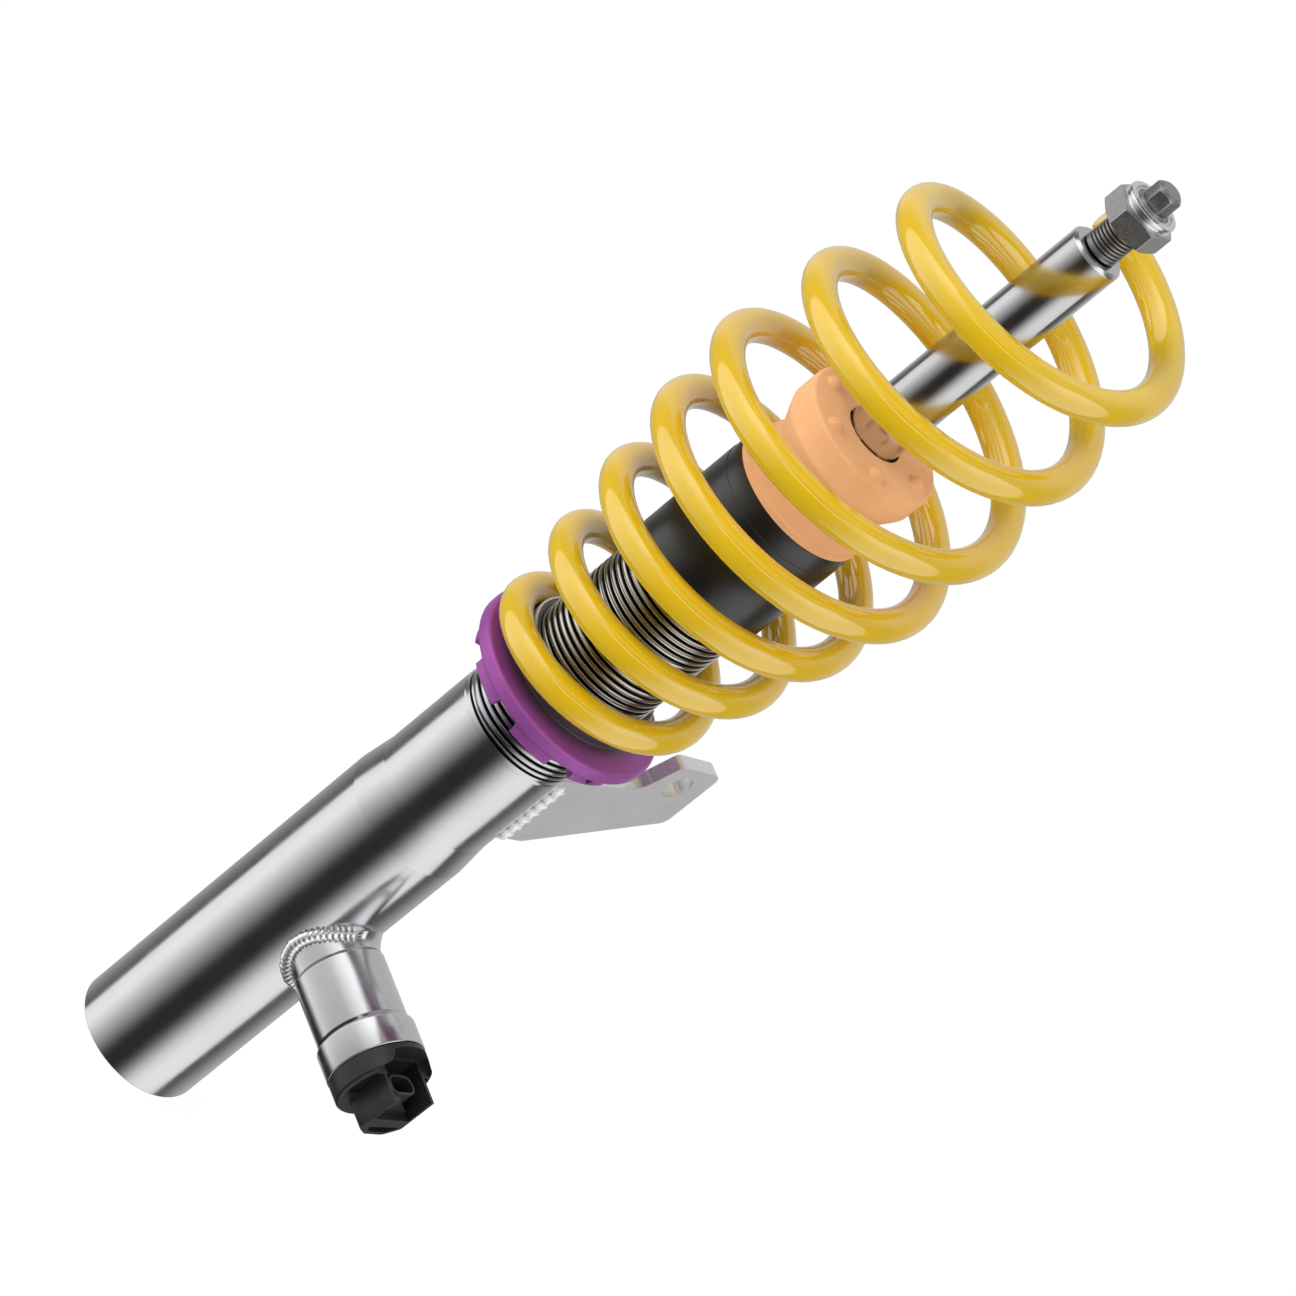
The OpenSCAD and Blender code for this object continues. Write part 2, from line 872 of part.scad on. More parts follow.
module piston() {
    middle = (piston_bottom + piston_top) / 2;
    groove_r = band_r - band_wall - run_gap;
    port_circle_r = (stem_r + piston_r) / 2;
    color([0.5, 0.51, 0.53])
        difference() {
            turned([
                [stem_r + run_gap, piston_bottom],
                [piston_r, piston_bottom],
                [piston_r, middle - band_h / 2 - free_gap],
                [groove_r, middle - band_h / 2 - free_gap],
                [groove_r, middle + band_h / 2 + free_gap],
                [piston_r, middle + band_h / 2 + free_gap],
                [piston_r, piston_top],
                [stem_r + run_gap, piston_top]
            ]);
            for (i = [0:5])
                rotate([0, 0, i * 60])
                    translate([port_circle_r, 0, piston_bottom - eps])
                        cylinder(d = 3.6, h = piston_h + 2 * eps);
        }
}

module rebound_shims() {
    color([0.7, 0.72, 0.76])
        tube_piece(stem_r + run_gap, piston_r - 2.5, piston_bottom - shim_h, piston_bottom);
}

module compression_shims() {
    color([0.7, 0.72, 0.76])
        tube_piece(stem_r + run_gap, piston_r - 3, piston_top, piston_top + shim_h);
}

module piston_nut() {
    nut_low = piston_bottom - shim_h - 10;
    color([0.42, 0.43, 0.45])
        difference() {
            hexagon(19, nut_low, piston_bottom - shim_h, 0);
            translate([0, 0, nut_low - eps])
                cylinder(r = stem_r + run_gap, h = 10 + 2 * eps);
        }
}

module rod() {
    color([0.8, 0.8, 0.82]) {
        turned([
            [0, stem_bottom],
            [stem_r - 1, stem_bottom],
            [stem_r, stem_bottom + 1],
            [stem_r, rod_bottom],
            [rod_r, rod_bottom],
            [rod_r, shoulder_h - 1.2],
            [rod_r - 1.2, shoulder_h],
            [stud_r - 0.8, shoulder_h],
            [stud_r - 0.8, shoulder_h + undercut_h],
            [stud_r, shoulder_h + undercut_h + 0.8],
            [stud_r, stud_top - 1],
            [stud_r - 1, stud_top],
            [0, stud_top]
        ]);
        intersection() {
            hexagon(key_af, stud_top - 1, key_top, 30);
            turned([
                [0, stud_top - 1],
                [key_af / 2 + 1, stud_top - 1],
                [key_af / 2 + 1, key_top - 1.4],
                [key_af / 2 - 1, key_top],
                [0, key_top]
            ]);
        }
    }
}

module rebound_stop() {
    color([0.5, 0.5, 0.52])
        turned([
            [rod_r, stop_bottom],
            [rod_r + 2.5, stop_bottom],
            [rod_r + 4, stop_bottom + 1.5],
            [rod_r + 4, stop_bottom + stop_h],
            [rod_r, stop_bottom + stop_h]
        ]);
}

module rebound_buffer() {
    color([0.2, 0.2, 0.2])
        turned([
            [rod_r, stop_bottom + stop_h],
            [rod_r + 4.5, stop_bottom + stop_h],
            [rod_r + 5, stop_bottom + stop_h + buffer_h / 2],
            [rod_r + 4, buffer_top],
            [rod_r, buffer_top]
        ]);
}

module slide_ring() {
    color([0.82, 0.82, 0.84])
        turned([
            [slide_bore_r, flange_top + run_gap],
            [slide_r, flange_top + run_gap],
            [slide_r, hub_top - 0.4],
            [slide_r - 0.4, hub_top],
            [slide_bore_r, hub_top]
        ]);
}

// Turns, counted from where the flat end stops, to height, radius and place.
// climbed() is how far n has come past a bend that is spread over a width.
function climbed(n, bend, width) =
    n <= bend - width ? 0
    : n >= bend + width ? n - bend
    : pow(n - bend + width, 2) / (4 * width);
function wire_height(n) =
    spring_start_h
    + lower_pitch * climbed(n, 0, pitch_blend / 2)
    + (upper_pitch - lower_pitch) * climbed(n, lower_turns, pitch_blend)
    - (upper_pitch - end_pitch) * climbed(n, spring_turns - 0.25, pitch_blend);
function wire_radius(h) =
    let (out_slope = (waist_r + 0.8 - spring_start_r) / (waist_h - spring_start_h),
         in_slope = (waist_r + 0.8 - top_r) / (wire_height(spring_turns) - waist_h))
    spring_start_r + out_slope * (h - spring_start_h)
    - (out_slope + in_slope) * climbed(h, waist_h, waist_blend);
function wire_point(n) =
    let (h = wire_height(n),
         r = wire_radius(h),
         a = spring_start_deg + 360 * n)
    [r * cos(a), r * sin(a), h];
function wire_turn(i) = -seat_turns + i * (seat_turns + spring_turns) / spring_rings;
function wire_ring(i) =
    let (n = wire_turn(i),
         along = unit(wire_point(n + 0.001) - wire_point(n - 0.001)),
         a = spring_start_deg + 360 * n,
         outward = unit(cross(cross(along, [cos(a), sin(a), 0]), along)),
         upward = cross(along, outward),
         middle = wire_point(n))
    [for (k = [0:spring_sides - 1])
        middle + wire_r * (cos(k * 360 / spring_sides) * outward
                           + sin(k * 360 / spring_sides) * upward)];
spring_path = [for (i = [0:spring_rings]) wire_point(wire_turn(i))];
spring_self_gap = min([
    for (i = [0:spring_rings])
        for (j = [i + floor(spring_rings_per_turn / 2):1:spring_rings])
            norm(spring_path[i] - spring_path[j])
]) - wire_d;

module coil_spring() {
    points = [for (i = [0:spring_rings]) each wire_ring(i)];
    last = spring_rings * spring_sides;
    sides = [
        for (i = [0:spring_rings - 1])
            for (k = [0:spring_sides - 1])
                let (a = i * spring_sides + k,
                     b = i * spring_sides + (k + 1) % spring_sides,
                     c = a + spring_sides,
                     d = b + spring_sides)
                each [[a, c, b], [b, c, d]]
    ];
    first_end = [for (k = [1:spring_sides - 2]) [0, k, k + 1]];
    last_end = [for (k = [1:spring_sides - 2]) [last, last + k + 1, last + k]];
    echo(str("least gap of the spring to itself, mm: ", spring_self_gap));
    color([0.9, 0.74, 0.1])
        polyhedron(points = points, faces = concat(sides, first_end, last_end));
}

// A spanner notch seen from outside: open at the foot, rounded at the top
module notch_cutter() {
    top = perch_collar_h + eps;
    rotate([90, 0, 90])
        linear_extrude(perch_collar_d)
            polygon(rounded([
                [-notch_w / 2, 0, 0],
                [notch_w / 2, 0, 0],
                [notch_w / 2, top, notch_w / 4],
                [-notch_w / 2, top, notch_w / 4]
            ]));
}

module spring_perch() {
    color([0.5, 0.28, 0.55])
        difference() {
            turned([
                [perch_bore_r, perch_h],
                [perch_collar_d / 2 - 0.8, perch_h],
                [perch_collar_d / 2, perch_h + 0.8],
                [perch_collar_d / 2, flange_bottom],
                [perch_flange_d / 2 - perch_rim, flange_bottom],
                [perch_flange_d / 2, flange_bottom + perch_rim],
                [perch_flange_d / 2, flange_top - perch_rim],
                [perch_flange_d / 2 - perch_rim, flange_top],
                [hub_r, flange_top],
                [hub_r, hub_top],
                [perch_bore_r, hub_top]
            ]);
            for (i = [0:notch_count - 1])
                rotate([0, 0, -25 + i * 360 / notch_count])
                    translate([perch_bore_r - eps, 0, perch_h - eps])
                        notch_cutter();
            rotate([0, 0, -25 + 180 / notch_count])
                translate([0, 0, perch_h + perch_collar_h / 2])
                    rotate([0, 90, 0])
                        cylinder(r = screw_r, h = perch_collar_d);
        }
}

module lock_screw() {
    start = perch_bore_r + 0.4;
    color([0.3, 0.3, 0.32])
        rotate([0, 0, -25 + 180 / notch_count])
            translate([0, 0, perch_h + perch_collar_h / 2])
                rotate([0, 90, 0])
                    difference() {
                        translate([0, 0, start])
                            cylinder(r = screw_r, h = perch_collar_d / 2 - 0.6 - start);
                        translate([0, 0, perch_collar_d / 2 - 2.6])
                            cylinder(d = 2.3, h = 2 + eps, $fn = 6);
                    }
}

module bump_stop() {
    color([0.95, 0.62, 0.4])
        difference() {
            union() {
                turned([
                    [0, foam_bottom],
                    [sleeve_bore_r - 2, foam_bottom],
                    [sleeve_bore_r, foam_bottom + 2],
                    [sleeve_bore_r, sleeve_top],
                    [sleeve_r, sleeve_top],
                    [sleeve_r, sleeve_top + foam_lip],
                    [foam_neck_r + 1.5, foam_neck_h - 5],
                    [foam_neck_r, foam_neck_h - 2],
                    [foam_neck_r, foam_neck_h],
                    [foam_head_r - 0.6, foam_head_h - 1.5],
                    [foam_head_r, foam_head_h],
                    [foam_head_r, foam_top - foam_rim],
                    [foam_head_r - foam_rim * 0.3, foam_top - foam_rim * 0.3],
                    [foam_head_r - foam_rim, foam_top],
                    [0, foam_top]
                ]);
                for (i = [0:bump_count - 1])
                    rotate([0, 0, 30 + i * 360 / bump_count])
                        translate([bump_circle_r, 0, foam_top - bump_r / 3])
                            sphere(r = bump_r, $fn = 24);
            }
            translate([0, 0, foam_bottom - eps])
                cylinder(r = foam_bore_r, h = foam_top - foam_bottom + 4);
            for (i = [0:vent_count - 1])
                rotate([0, 0, -47 + i * 360 / vent_count - vent_deg / 2])
                    translate([0, 0, foam_top - foam_h * 0.75])
                        rotate_extrude(angle = vent_deg)
                            translate([foam_bore_r - 1, 0])
                                square([vent_depth + 1, foam_h]);
        }
}

module dust_sleeve() {
    web_bore_r = rod_r + 6;
    color([0.15, 0.15, 0.16])
        turned([
            [sleeve_bore_r, sleeve_h],
            [sleeve_r - 1, sleeve_h],
            [sleeve_r, sleeve_h + 4],
            [sleeve_r, sleeve_top],
            [sleeve_bore_r, sleeve_top],
            [sleeve_bore_r, foam_bottom],
            [web_bore_r, foam_bottom],
            [web_bore_r, sleeve_web_bottom],
            [sleeve_bore_r, sleeve_web_bottom]
        ]);
}

module nut_insert() {
    color([0.85, 0.85, 0.8])
        tube_piece(
            stud_r + run_gap,
            stud_r + run_gap + insert_wall,
            nut_top - 0.5 - insert_h,
            nut_top - 0.5
        );
}

module top_nut() {
    corner_r = nut_af / sqrt(3);
    collar_r = nut_af / 2 - 0.5;
    pocket_r = stud_r + run_gap + insert_wall + run_gap;
    color([0.62, 0.62, 0.64])
        difference() {
            union() {
                intersection() {
                    hexagon(nut_af, nut_bottom, nut_hex_top, nut_turn_deg);
                    turned([
                        [0, nut_bottom],
                        [nut_af / 2 - 0.3, nut_bottom],
                        [corner_r + 0.5, nut_bottom + 1.3],
                        [corner_r + 0.5, nut_hex_top - 1.3],
                        [nut_af / 2 - 0.3, nut_hex_top],
                        [0, nut_hex_top]
                    ]);
                }
                turned([
                    [0, nut_hex_top - 2],
                    [collar_r, nut_hex_top - 2],
                    [collar_r, nut_top - 1],
                    [collar_r - 1.4, nut_top],
                    [0, nut_top]
                ]);
            }
            translate([0, 0, nut_bottom - eps])
                cylinder(r = stud_r + run_gap, h = nut_top - nut_bottom + 2 * eps);
            translate([0, 0, nut_top - 0.5 - insert_h - run_gap])
                cylinder(r = pocket_r, h = insert_h + 0.5 + run_gap + eps);
        }
}

strut_tube();
bottom_cap();
base_valve_body();
base_valve_discs();
base_valve_bolt();
inner_cylinder();
feed_tube();
feed_tube_seals();
rod_guide();
guide_bush();
guide_o_ring();
rod_seal();
gland_nut();
valve_boss();
boss_weld_bead();
link_bracket();
bracket_weld_beads();
valve_body();
valve_o_rings();
valve_housing();
coil_bobbin();
solenoid_coil();
pole_piece();
spool_spring();
crimp_collar();
connector_seal();
connector_housing();
contact_pins();
valve_spool();
armature();
piston_band();
piston();
rebound_shims();
compression_shims();
piston_nut();
rod();
rebound_stop();
rebound_buffer();
slide_ring();
coil_spring();
spring_perch();
lock_screw();
bump_stop();
dust_sleeve();
nut_insert();
top_nut();
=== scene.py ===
"""Coilover strut: detailed pieces, finishes, studio and camera round its frame."""
import json
import math
from collections import namedtuple

import bmesh
import bpy
from mathutils import Matrix, Vector


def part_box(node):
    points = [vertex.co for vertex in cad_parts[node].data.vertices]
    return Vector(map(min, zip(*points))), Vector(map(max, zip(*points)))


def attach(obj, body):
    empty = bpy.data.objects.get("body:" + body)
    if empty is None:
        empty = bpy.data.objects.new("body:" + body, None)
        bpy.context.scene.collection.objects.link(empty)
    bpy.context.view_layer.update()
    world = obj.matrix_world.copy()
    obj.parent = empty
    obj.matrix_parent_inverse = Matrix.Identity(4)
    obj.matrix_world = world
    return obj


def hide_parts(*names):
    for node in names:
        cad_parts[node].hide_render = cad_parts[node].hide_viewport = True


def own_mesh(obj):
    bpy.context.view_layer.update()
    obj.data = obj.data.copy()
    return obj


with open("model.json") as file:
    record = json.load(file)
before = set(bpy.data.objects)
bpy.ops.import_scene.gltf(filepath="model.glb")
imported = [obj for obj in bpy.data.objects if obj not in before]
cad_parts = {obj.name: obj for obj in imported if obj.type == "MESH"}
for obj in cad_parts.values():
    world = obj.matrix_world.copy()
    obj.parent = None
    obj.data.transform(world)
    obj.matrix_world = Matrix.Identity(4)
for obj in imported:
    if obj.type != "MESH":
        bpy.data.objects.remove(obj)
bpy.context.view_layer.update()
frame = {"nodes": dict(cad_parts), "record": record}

bl_info = {
    "name": "Coilover strut",
    "version": (1, 0, 0),
    "blender": (4, 5, 0),
    "location": "3D View > Sidebar > Strut",
    "description": "Builds the pieces, finishes and studio of a coilover strut",
    "category": "Object",
}

MM = 0.001


def box(node):
    """Lowest and highest corner of a CAD node at rest, in mm."""
    return tuple(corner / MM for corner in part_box(node))


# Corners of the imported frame's nodes that the pieces start from
_, TUBE_HIGH = box("strut_tube")
PERCH_LOW, PERCH_HIGH = box("spring_perch")
_, RING_HIGH = box("slide_ring")
FOAM_LOW, _ = box("bump_stop")
SLEEVE_LOW, SLEEVE_HIGH = box("dust_sleeve")
ROD_LOW, ROD_HIGH = box("rod")
NUT_LOW, NUT_HIGH = box("top_nut")
HOUSING_LOW, HOUSING_HIGH = box("valve_housing")
COLLAR_LOW, COLLAR_HIGH = box("crimp_collar")
PLATE_LOW, PLATE_HIGH = box("link_bracket")
VALVE_H = (HOUSING_LOW.z + HOUSING_HIGH.z) / 2

# Heights, depths and radii that no box of a node gives, in mm
SHANK_H = 156.6
TAPER_TOP = 171.7
THREAD_FOOT = 219.6
THREAD_TOP = 339.0
THREAD_RADIUS = 26.0
FLANGE_BOTTOM = 239.6
FLANGE_TOP = 245.6
HUB_TOP = 251.3
CRIMP_DEPTH = 6.55
SLEEVE_TOP = 363.0
FOAM_RISE = 37.2
SHOULDER_H = 508.0
STUD_TOP = 534.0
STUD_RADIUS = 7.0
NUT_COLLAR_H = 530.5


# ---------------------------------------------------------------- sizes and colours


def length(name, description, millimetres):
    return bpy.props.FloatProperty(
        name=name,
        description=description,
        default=millimetres * MM,
        min=0.01 * MM,
        precision=5,
        subtype="DISTANCE",
        unit="LENGTH",
    )


def colour(name, description, red, green, blue):
    return bpy.props.FloatVectorProperty(
        name=name,
        description=description,
        default=(red, green, blue),
        min=0.0,
        max=1.0,
        size=3,
        subtype="COLOR",
    )


class StrutSizes(bpy.types.PropertyGroup):
    """Sizes of the strut's detailed pieces"""

    thread_pitch: length("Thread pitch", "Rise of one turn of the tube's thread", 3.0)
    thread_depth: length("Thread depth", "Depth of the tube's thread", 1.9)
    stud_pitch: length("Stud pitch", "Rise of one turn of the stud's thread", 1.5)
    wire: length("Spring wire", "Diameter of the coil spring's wire", 12.4)
    weld: length("Weld width", "Width of the weld bead round the valve boss", 5.2)
    notch: length("Notch width", "Width of a spanner notch of the perch", 11.2)
    bump: length("Foam bump", "Height of a bump on the foam's top face", 2.5)
    plate_edge: length("Plate edge", "Rounding of the link bracket's edges", 0.35)


class StrutColours(bpy.types.PropertyGroup):
    """Colours of the strut's finishes"""

    tube: colour("Tube", "Polished stainless tube", 0.70, 0.71, 0.72)
    chrome: colour("Chrome", "Hard chrome of the rod", 0.62, 0.62, 0.625)
    valve: colour("Valve", "Turned steel of the side valve", 0.64, 0.64, 0.65)
    plate: colour("Plate", "Satin steel of the link bracket", 0.88, 0.88, 0.885)
    weld: colour("Weld", "Bright weld metal", 0.95, 0.95, 0.95)
    spring: colour("Spring", "Yellow powder coat", 0.78, 0.50, 0.003)
    perch: colour("Perch", "Purple anodised aluminium", 0.36, 0.085, 0.37)
    foam: colour("Foam", "Orange bump stop foam", 1.0, 0.54, 0.27)
    sleeve: colour("Sleeve", "Black dust sleeve", 0.008, 0.008, 0.009)
    plastic: colour("Connector", "Black connector plastic", 0.017, 0.017, 0.0175)
    stud: colour("Stud", "Dark phosphate of the stud and key", 0.34, 0.34, 0.345)
    nut: colour("Nut", "Zinc plating of the lock nut", 0.50, 0.50, 0.51)


# ---------------------------------------------------------------- modelling helpers


def deselect():
    """Leave edit mode and deselect everything, the CAD nodes among it."""
    if bpy.context.object and bpy.context.object.mode != "OBJECT":
        bpy.ops.object.mode_set(mode="OBJECT")
    bpy.ops.object.select_all(action="DESELECT")


def choose(piece):
    deselect()
    piece.select_set(True)
    bpy.context.view_layer.objects.active = piece


def name_new(name):
    piece = bpy.context.active_object
    piece.name = piece.data.name = name
    return piece


def apply_modifier(piece, kind, **settings):
    choose(piece)
    modifier = piece.modifiers.new(kind.title(), kind)
    for setting, value in settings.items():
        setattr(modifier, setting, value)
    bpy.ops.object.modifier_apply(modifier=modifier.name)


def smooth(piece, degrees):
    choose(piece)
    bpy.ops.object.shade_smooth_by_angle(angle=math.radians(degrees))


def edit(mode="VERT", action="SELECT"):
    """Enter edit mode on the active piece, with all or nothing selected."""
    bpy.ops.object.mode_set(mode="EDIT")
    bpy.ops.mesh.select_mode(type=mode)
    bpy.ops.mesh.select_all(action=action)


def close_shell(piece, tolerance=0.002, outward=True):
    """Merge doubles, drop loose edges and turn the faces outwards."""
    choose(piece)
    edit()
    bpy.ops.mesh.remove_doubles(threshold=tolerance * MM)
    bpy.ops.mesh.dissolve_degenerate(threshold=tolerance * MM * 0.1)
    bpy.ops.mesh.delete_loose(use_verts=True, use_edges=True, use_faces=False)
    if outward:
        bpy.ops.mesh.select_all(action="SELECT")
        bpy.ops.mesh.normals_make_consistent(inside=False)
    bpy.ops.object.mode_set(mode="OBJECT")


def polar(radius, degrees):
    """The point across the strut at a radius and an angle."""
    angle = math.radians(degrees)
    return radius * math.cos(angle), radius * math.sin(angle)


def rounded(corners, steps=5):
    """Points of an outline whose corners (across, up, radius) are rounded."""
    points = []
    count = len(corners)
    for i, (across, up, radius) in enumerate(corners):
        here = Vector((across, up))
        if radius <= 0:
            points.append(here)
            continue
        before = (Vector(corners[i - 1][:2]) - here).normalized()
        after = (Vector(corners[(i + 1) % count][:2]) - here).normalized()
        half = math.acos(max(-1.0, min(1.0, before.dot(after)))) / 2
        centre = here + (before + after).normalized() * radius / math.sin(half)
        first = here + before * radius / math.tan(half)
        last = here + after * radius / math.tan(half)
        for k in range(steps + 1):
            chord = first + (last - first) * k / steps
            points.append(centre + (chord - centre).normalized() * radius)
    return points


def outline(name, points, closed=True):
    """A primitive circle with one vertex for each point, moved to its point in mm."""
    deselect()
    bpy.ops.mesh.primitive_circle_add(vertices=len(points), radius=0.01)
    piece = name_new(name)
    for vertex, point in zip(piece.data.vertices, points):
        vertex.co = Vector(point) * MM
    if not closed:
        ends = {0, len(points) - 1}
        edit("EDGE", "DESELECT")
        mesh = bmesh.from_edit_mesh(piece.data)
        for edge in mesh.edges:
            edge.select = {v.index for v in edge.verts} == ends
        bpy.ops.mesh.delete(type="EDGE")
        bpy.ops.object.mode_set(mode="OBJECT")
    return piece


def turned(name, corners, steps=128, along_valve=False, closed=True):
    """Spin an outline of (radius, height, fillet) round the strut or the valve."""
    if along_valve:
        points = [(p.y, 0, VALVE_H + p.x) for p in rounded(corners)]
        centre, axis = (0, 0, VALVE_H * MM), (1, 0, 0)
    else:
        points = [(p.x, 0, p.y) for p in rounded(corners)]
        centre, axis = (0, 0, 0), (0, 0, 1)
    piece = outline(name, points, closed)
    edit()
    bpy.ops.mesh.spin(steps=steps, angle=math.tau, center=centre, axis=axis)
    close_shell(piece, outward=closed)
    return piece


def prism(name, points, rise):
    """Fill an outline of 3D points in mm and pull it along a vector."""
    piece = outline(name, points)
    edit()
    bpy.ops.mesh.edge_face_add()
    bpy.ops.mesh.extrude_region_move(
        TRANSFORM_OT_translate={"value": Vector(rise) * MM}
    )
    close_shell(piece)
    return piece


def hexagon(name, flats, first, low, high):
    """A hexagonal bar of a width across flats, with its first corner at an angle."""
    corner = flats / math.sqrt(3)
    points = [(*polar(corner, first + 60 * k), low) for k in range(6)]
    return prism(name, points, (0, 0, high - low))


def round_cutter(name, radius, depth, place, vertices, along_x=False):
    """A cylinder that cuts a round hole, along the strut or along the valve."""
    deselect()
    bpy.ops.mesh.primitive_cylinder_add(
        vertices=vertices,
        radius=radius * MM,
        depth=depth * MM,
        location=Vector(place) * MM,
        rotation=(0, math.pi / 2 if along_x else 0, 0),
    )
    return name_new(name)


def rolled(name, rings, sides, place):
    """Roll a primitive grid into a closed rod: place(ring, angle round it) in mm."""
    deselect()
    bpy.ops.mesh.primitive_grid_add(
        x_subdivisions=rings - 1, y_subdivisions=sides, size=2
    )
    piece = name_new(name)
    for vertex in piece.data.vertices:
        ring = round((vertex.co.x + 1) / 2 * (rings - 1))
        turn = round((vertex.co.y + 1) / 2 * sides) % sides / sides
        vertex.co = Vector(place(ring, turn * math.tau)) * MM
    close_shell(piece, tolerance=0.0005, outward=False)
    edit("EDGE", "DESELECT")
    bpy.ops.mesh.select_non_manifold(
        extend=False, use_wire=False, use_multi_face=False, use_non_contiguous=False
    )
    bpy.ops.mesh.edge_face_add()
    bpy.ops.object.mode_set(mode="OBJECT")
    close_caps(piece)
    return piece


def close_caps(piece):
    """Fill each open rim with its own face, and turn all faces outwards."""
    mesh = bmesh.new()
    mesh.from_mesh(piece.data)
    rims = [edge for edge in mesh.edges if len(edge.link_faces) == 1]
    if rims:
        bmesh.ops.holes_fill(mesh, edges=rims, sides=0)
    bmesh.ops.recalc_face_normals(mesh, faces=mesh.faces)
    mesh.to_mesh(piece.data)
    mesh.free()


def combine(piece, other, operation="DIFFERENCE"):
    """Cut the other shape away from the piece, or weld it on, and remove it."""
    apply_modifier(
        piece, "BOOLEAN", object=other, operation=operation, solver="EXACT"
    )
    bpy.data.objects.remove(other)


def bevel(piece, width, degrees, segments=2):
    """Break the edges that are sharper than an angle."""
    apply_modifier(
        piece,
        "BEVEL",
        width=width * MM,
        segments=segments,
        limit_method="ANGLE",
        angle_limit=math.radians(degrees),
        use_clamp_overlap=True,
        harden_normals=False,
    )


def break_edges(piece, width, degrees, segments=2):
    """Clean what the cuts left, then bevel the piece's edges."""
    close_shell(piece, tolerance=0.001, outward=False)
    bevel(piece, width, degrees, segments)


def join(piece, *others):
    choose(piece)
    for other in others:
        other.select_set(True)
    bpy.ops.object.join()


def bridge_near(piece, height, reach=0.6):
    """Bridge the two open rims that lie near a height in mm."""
    choose(piece)
    edit("EDGE", "DESELECT")
    mesh = bmesh.from_edit_mesh(piece.data)
    for edge in mesh.edges:
        edge.select = len(edge.link_faces) == 1 and all(
            abs(v.co.z / MM - height) < reach for v in edge.verts
        )
    bpy.ops.mesh.bridge_edge_loops()
    bpy.ops.object.mode_set(mode="OBJECT")


def thread(name, crest_radius, depth, pitch, foot, top, steps=96, points=10):
    """A helical thread with round crests, faded out to plain rims at both ends."""
    roundness = 0.97
    profile = []
    for k in range(points + 1):
        across = -math.cos(math.pi * k / points)
        sunk = depth * (1 - math.sqrt(max(0.0, 1 - (roundness * across) ** 2)))
        profile.append((crest_radius - sunk, 0, pitch * (across + 1) / 2))
    piece = outline(name, profile, closed=False)
    apply_modifier(
        piece,
        "SCREW",
        screw_offset=pitch * MM,
        iterations=math.ceil((top - foot) / pitch) + 2,
        steps=steps,
        render_steps=steps,
        use_merge_vertices=False,
        use_normal_calculate=True,
    )
    plain, run_out = 0.4, pitch * 0.4
    for vertex in piece.data.vertices:
        place = vertex.co / MM
        height = place.z + foot - pitch * 1.5
        inside = min(height - foot, top - height) - plain
        share = max(0.0, min(inside / run_out, 1.0))
        radius = math.hypot(place.x, place.y)
        shrunk = crest_radius - (crest_radius - radius) * share
        vertex.co = Vector(
            (place.x / radius * shrunk, place.y / radius * shrunk, height)
        ) * MM
    close_shell(piece, tolerance=0.001, outward=False)
    bpy.ops.object.mode_set(mode="EDIT")
    for height, upward in ((foot, True), (top, False)):
        bpy.ops.mesh.select_all(action="SELECT")
        bpy.ops.mesh.bisect(
            plane_co=(0, 0, height * MM),
            plane_no=(0, 0, 1),
            clear_inner=upward,
            clear_outer=not upward,
            use_fill=False,
            threshold=1e-7,
        )
    bpy.ops.object.mode_set(mode="OBJECT")
    return piece


def done(piece, body, looks, slot, *replaced, look=None, degrees=32, flat=False):
    """Shade a finished piece, give it its finish and body, hide what it replaces."""
    smooth(piece, degrees)
    if flat:
        # the bevels turn, and the large faces beside them stay flat
        apply_modifier(piece, "WEIGHTED_NORMAL", keep_sharp=True)
    paint(piece, looks[look or slot])
    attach(piece, body)
    if replaced:
        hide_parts(*replaced)


def paint(piece, material):
    """Give a piece or a CAD node its finish; the mesh is left alone."""
    piece.data.materials.clear()
    piece.data.materials.append(material)


# ---------------------------------------------------------------- finishes

FLOAT, VECTOR = "NodeSocketFloat", "NodeSocketVector"


def add(tree, kind, inputs=None, **settings):
    """Add a node; inputs are values or the sockets that feed them."""
    node = tree.nodes.new(kind)
    for setting, value in settings.items():
        setattr(node, setting, value)
    for socket, value in (inputs or {}).items():
        if isinstance(value, bpy.types.NodeSocket):
            tree.links.new(value, node.inputs[socket])
        else:
            node.inputs[socket].default_value = value
    return node


def calc(tree, operation, *values):
    """The number that a Math node makes of sockets and numbers."""
    inputs = dict(enumerate(values))
    return add(tree, "ShaderNodeMath", inputs, operation=operation).outputs[0]


def vector_calc(tree, operation, *values, scale=None):
    """What a Vector Math node makes of its inputs: a vector, or a single number."""
    inputs = dict(enumerate(values))
    if scale is not None:
        inputs["Scale"] = scale
    node = add(tree, "ShaderNodeVectorMath", inputs, operation=operation)
    single = operation in ("DOT_PRODUCT", "LENGTH")
    return node.outputs["Value" if single else "Vector"]


def coordinate(tree, place, axis="Z"):
    return add(tree, "ShaderNodeSeparateXYZ", {0: place}).outputs[axis]


def remap(tree, value, low, high, *reach, soft=False):
    """Spread low to high over 0 to 1, or over a reach; low may be above high."""
    inputs = {"Value": value, "From Min": low, "From Max": high}
    inputs.update(zip(("To Min", "To Max"), reach))
    node = add(
        tree,
        "ShaderNodeMapRange",
        inputs,
        interpolation_type="SMOOTHSTEP" if soft else "LINEAR",
    )
    return node.outputs["Result"]


def noise(tree, place, scale, detail, roughness=0.5):
    inputs = {
        "Vector": place,
        "Scale": scale,
        "Detail": detail,
        "Roughness": roughness,
    }
    return add(tree, "ShaderNodeTexNoise", inputs).outputs["Fac"]


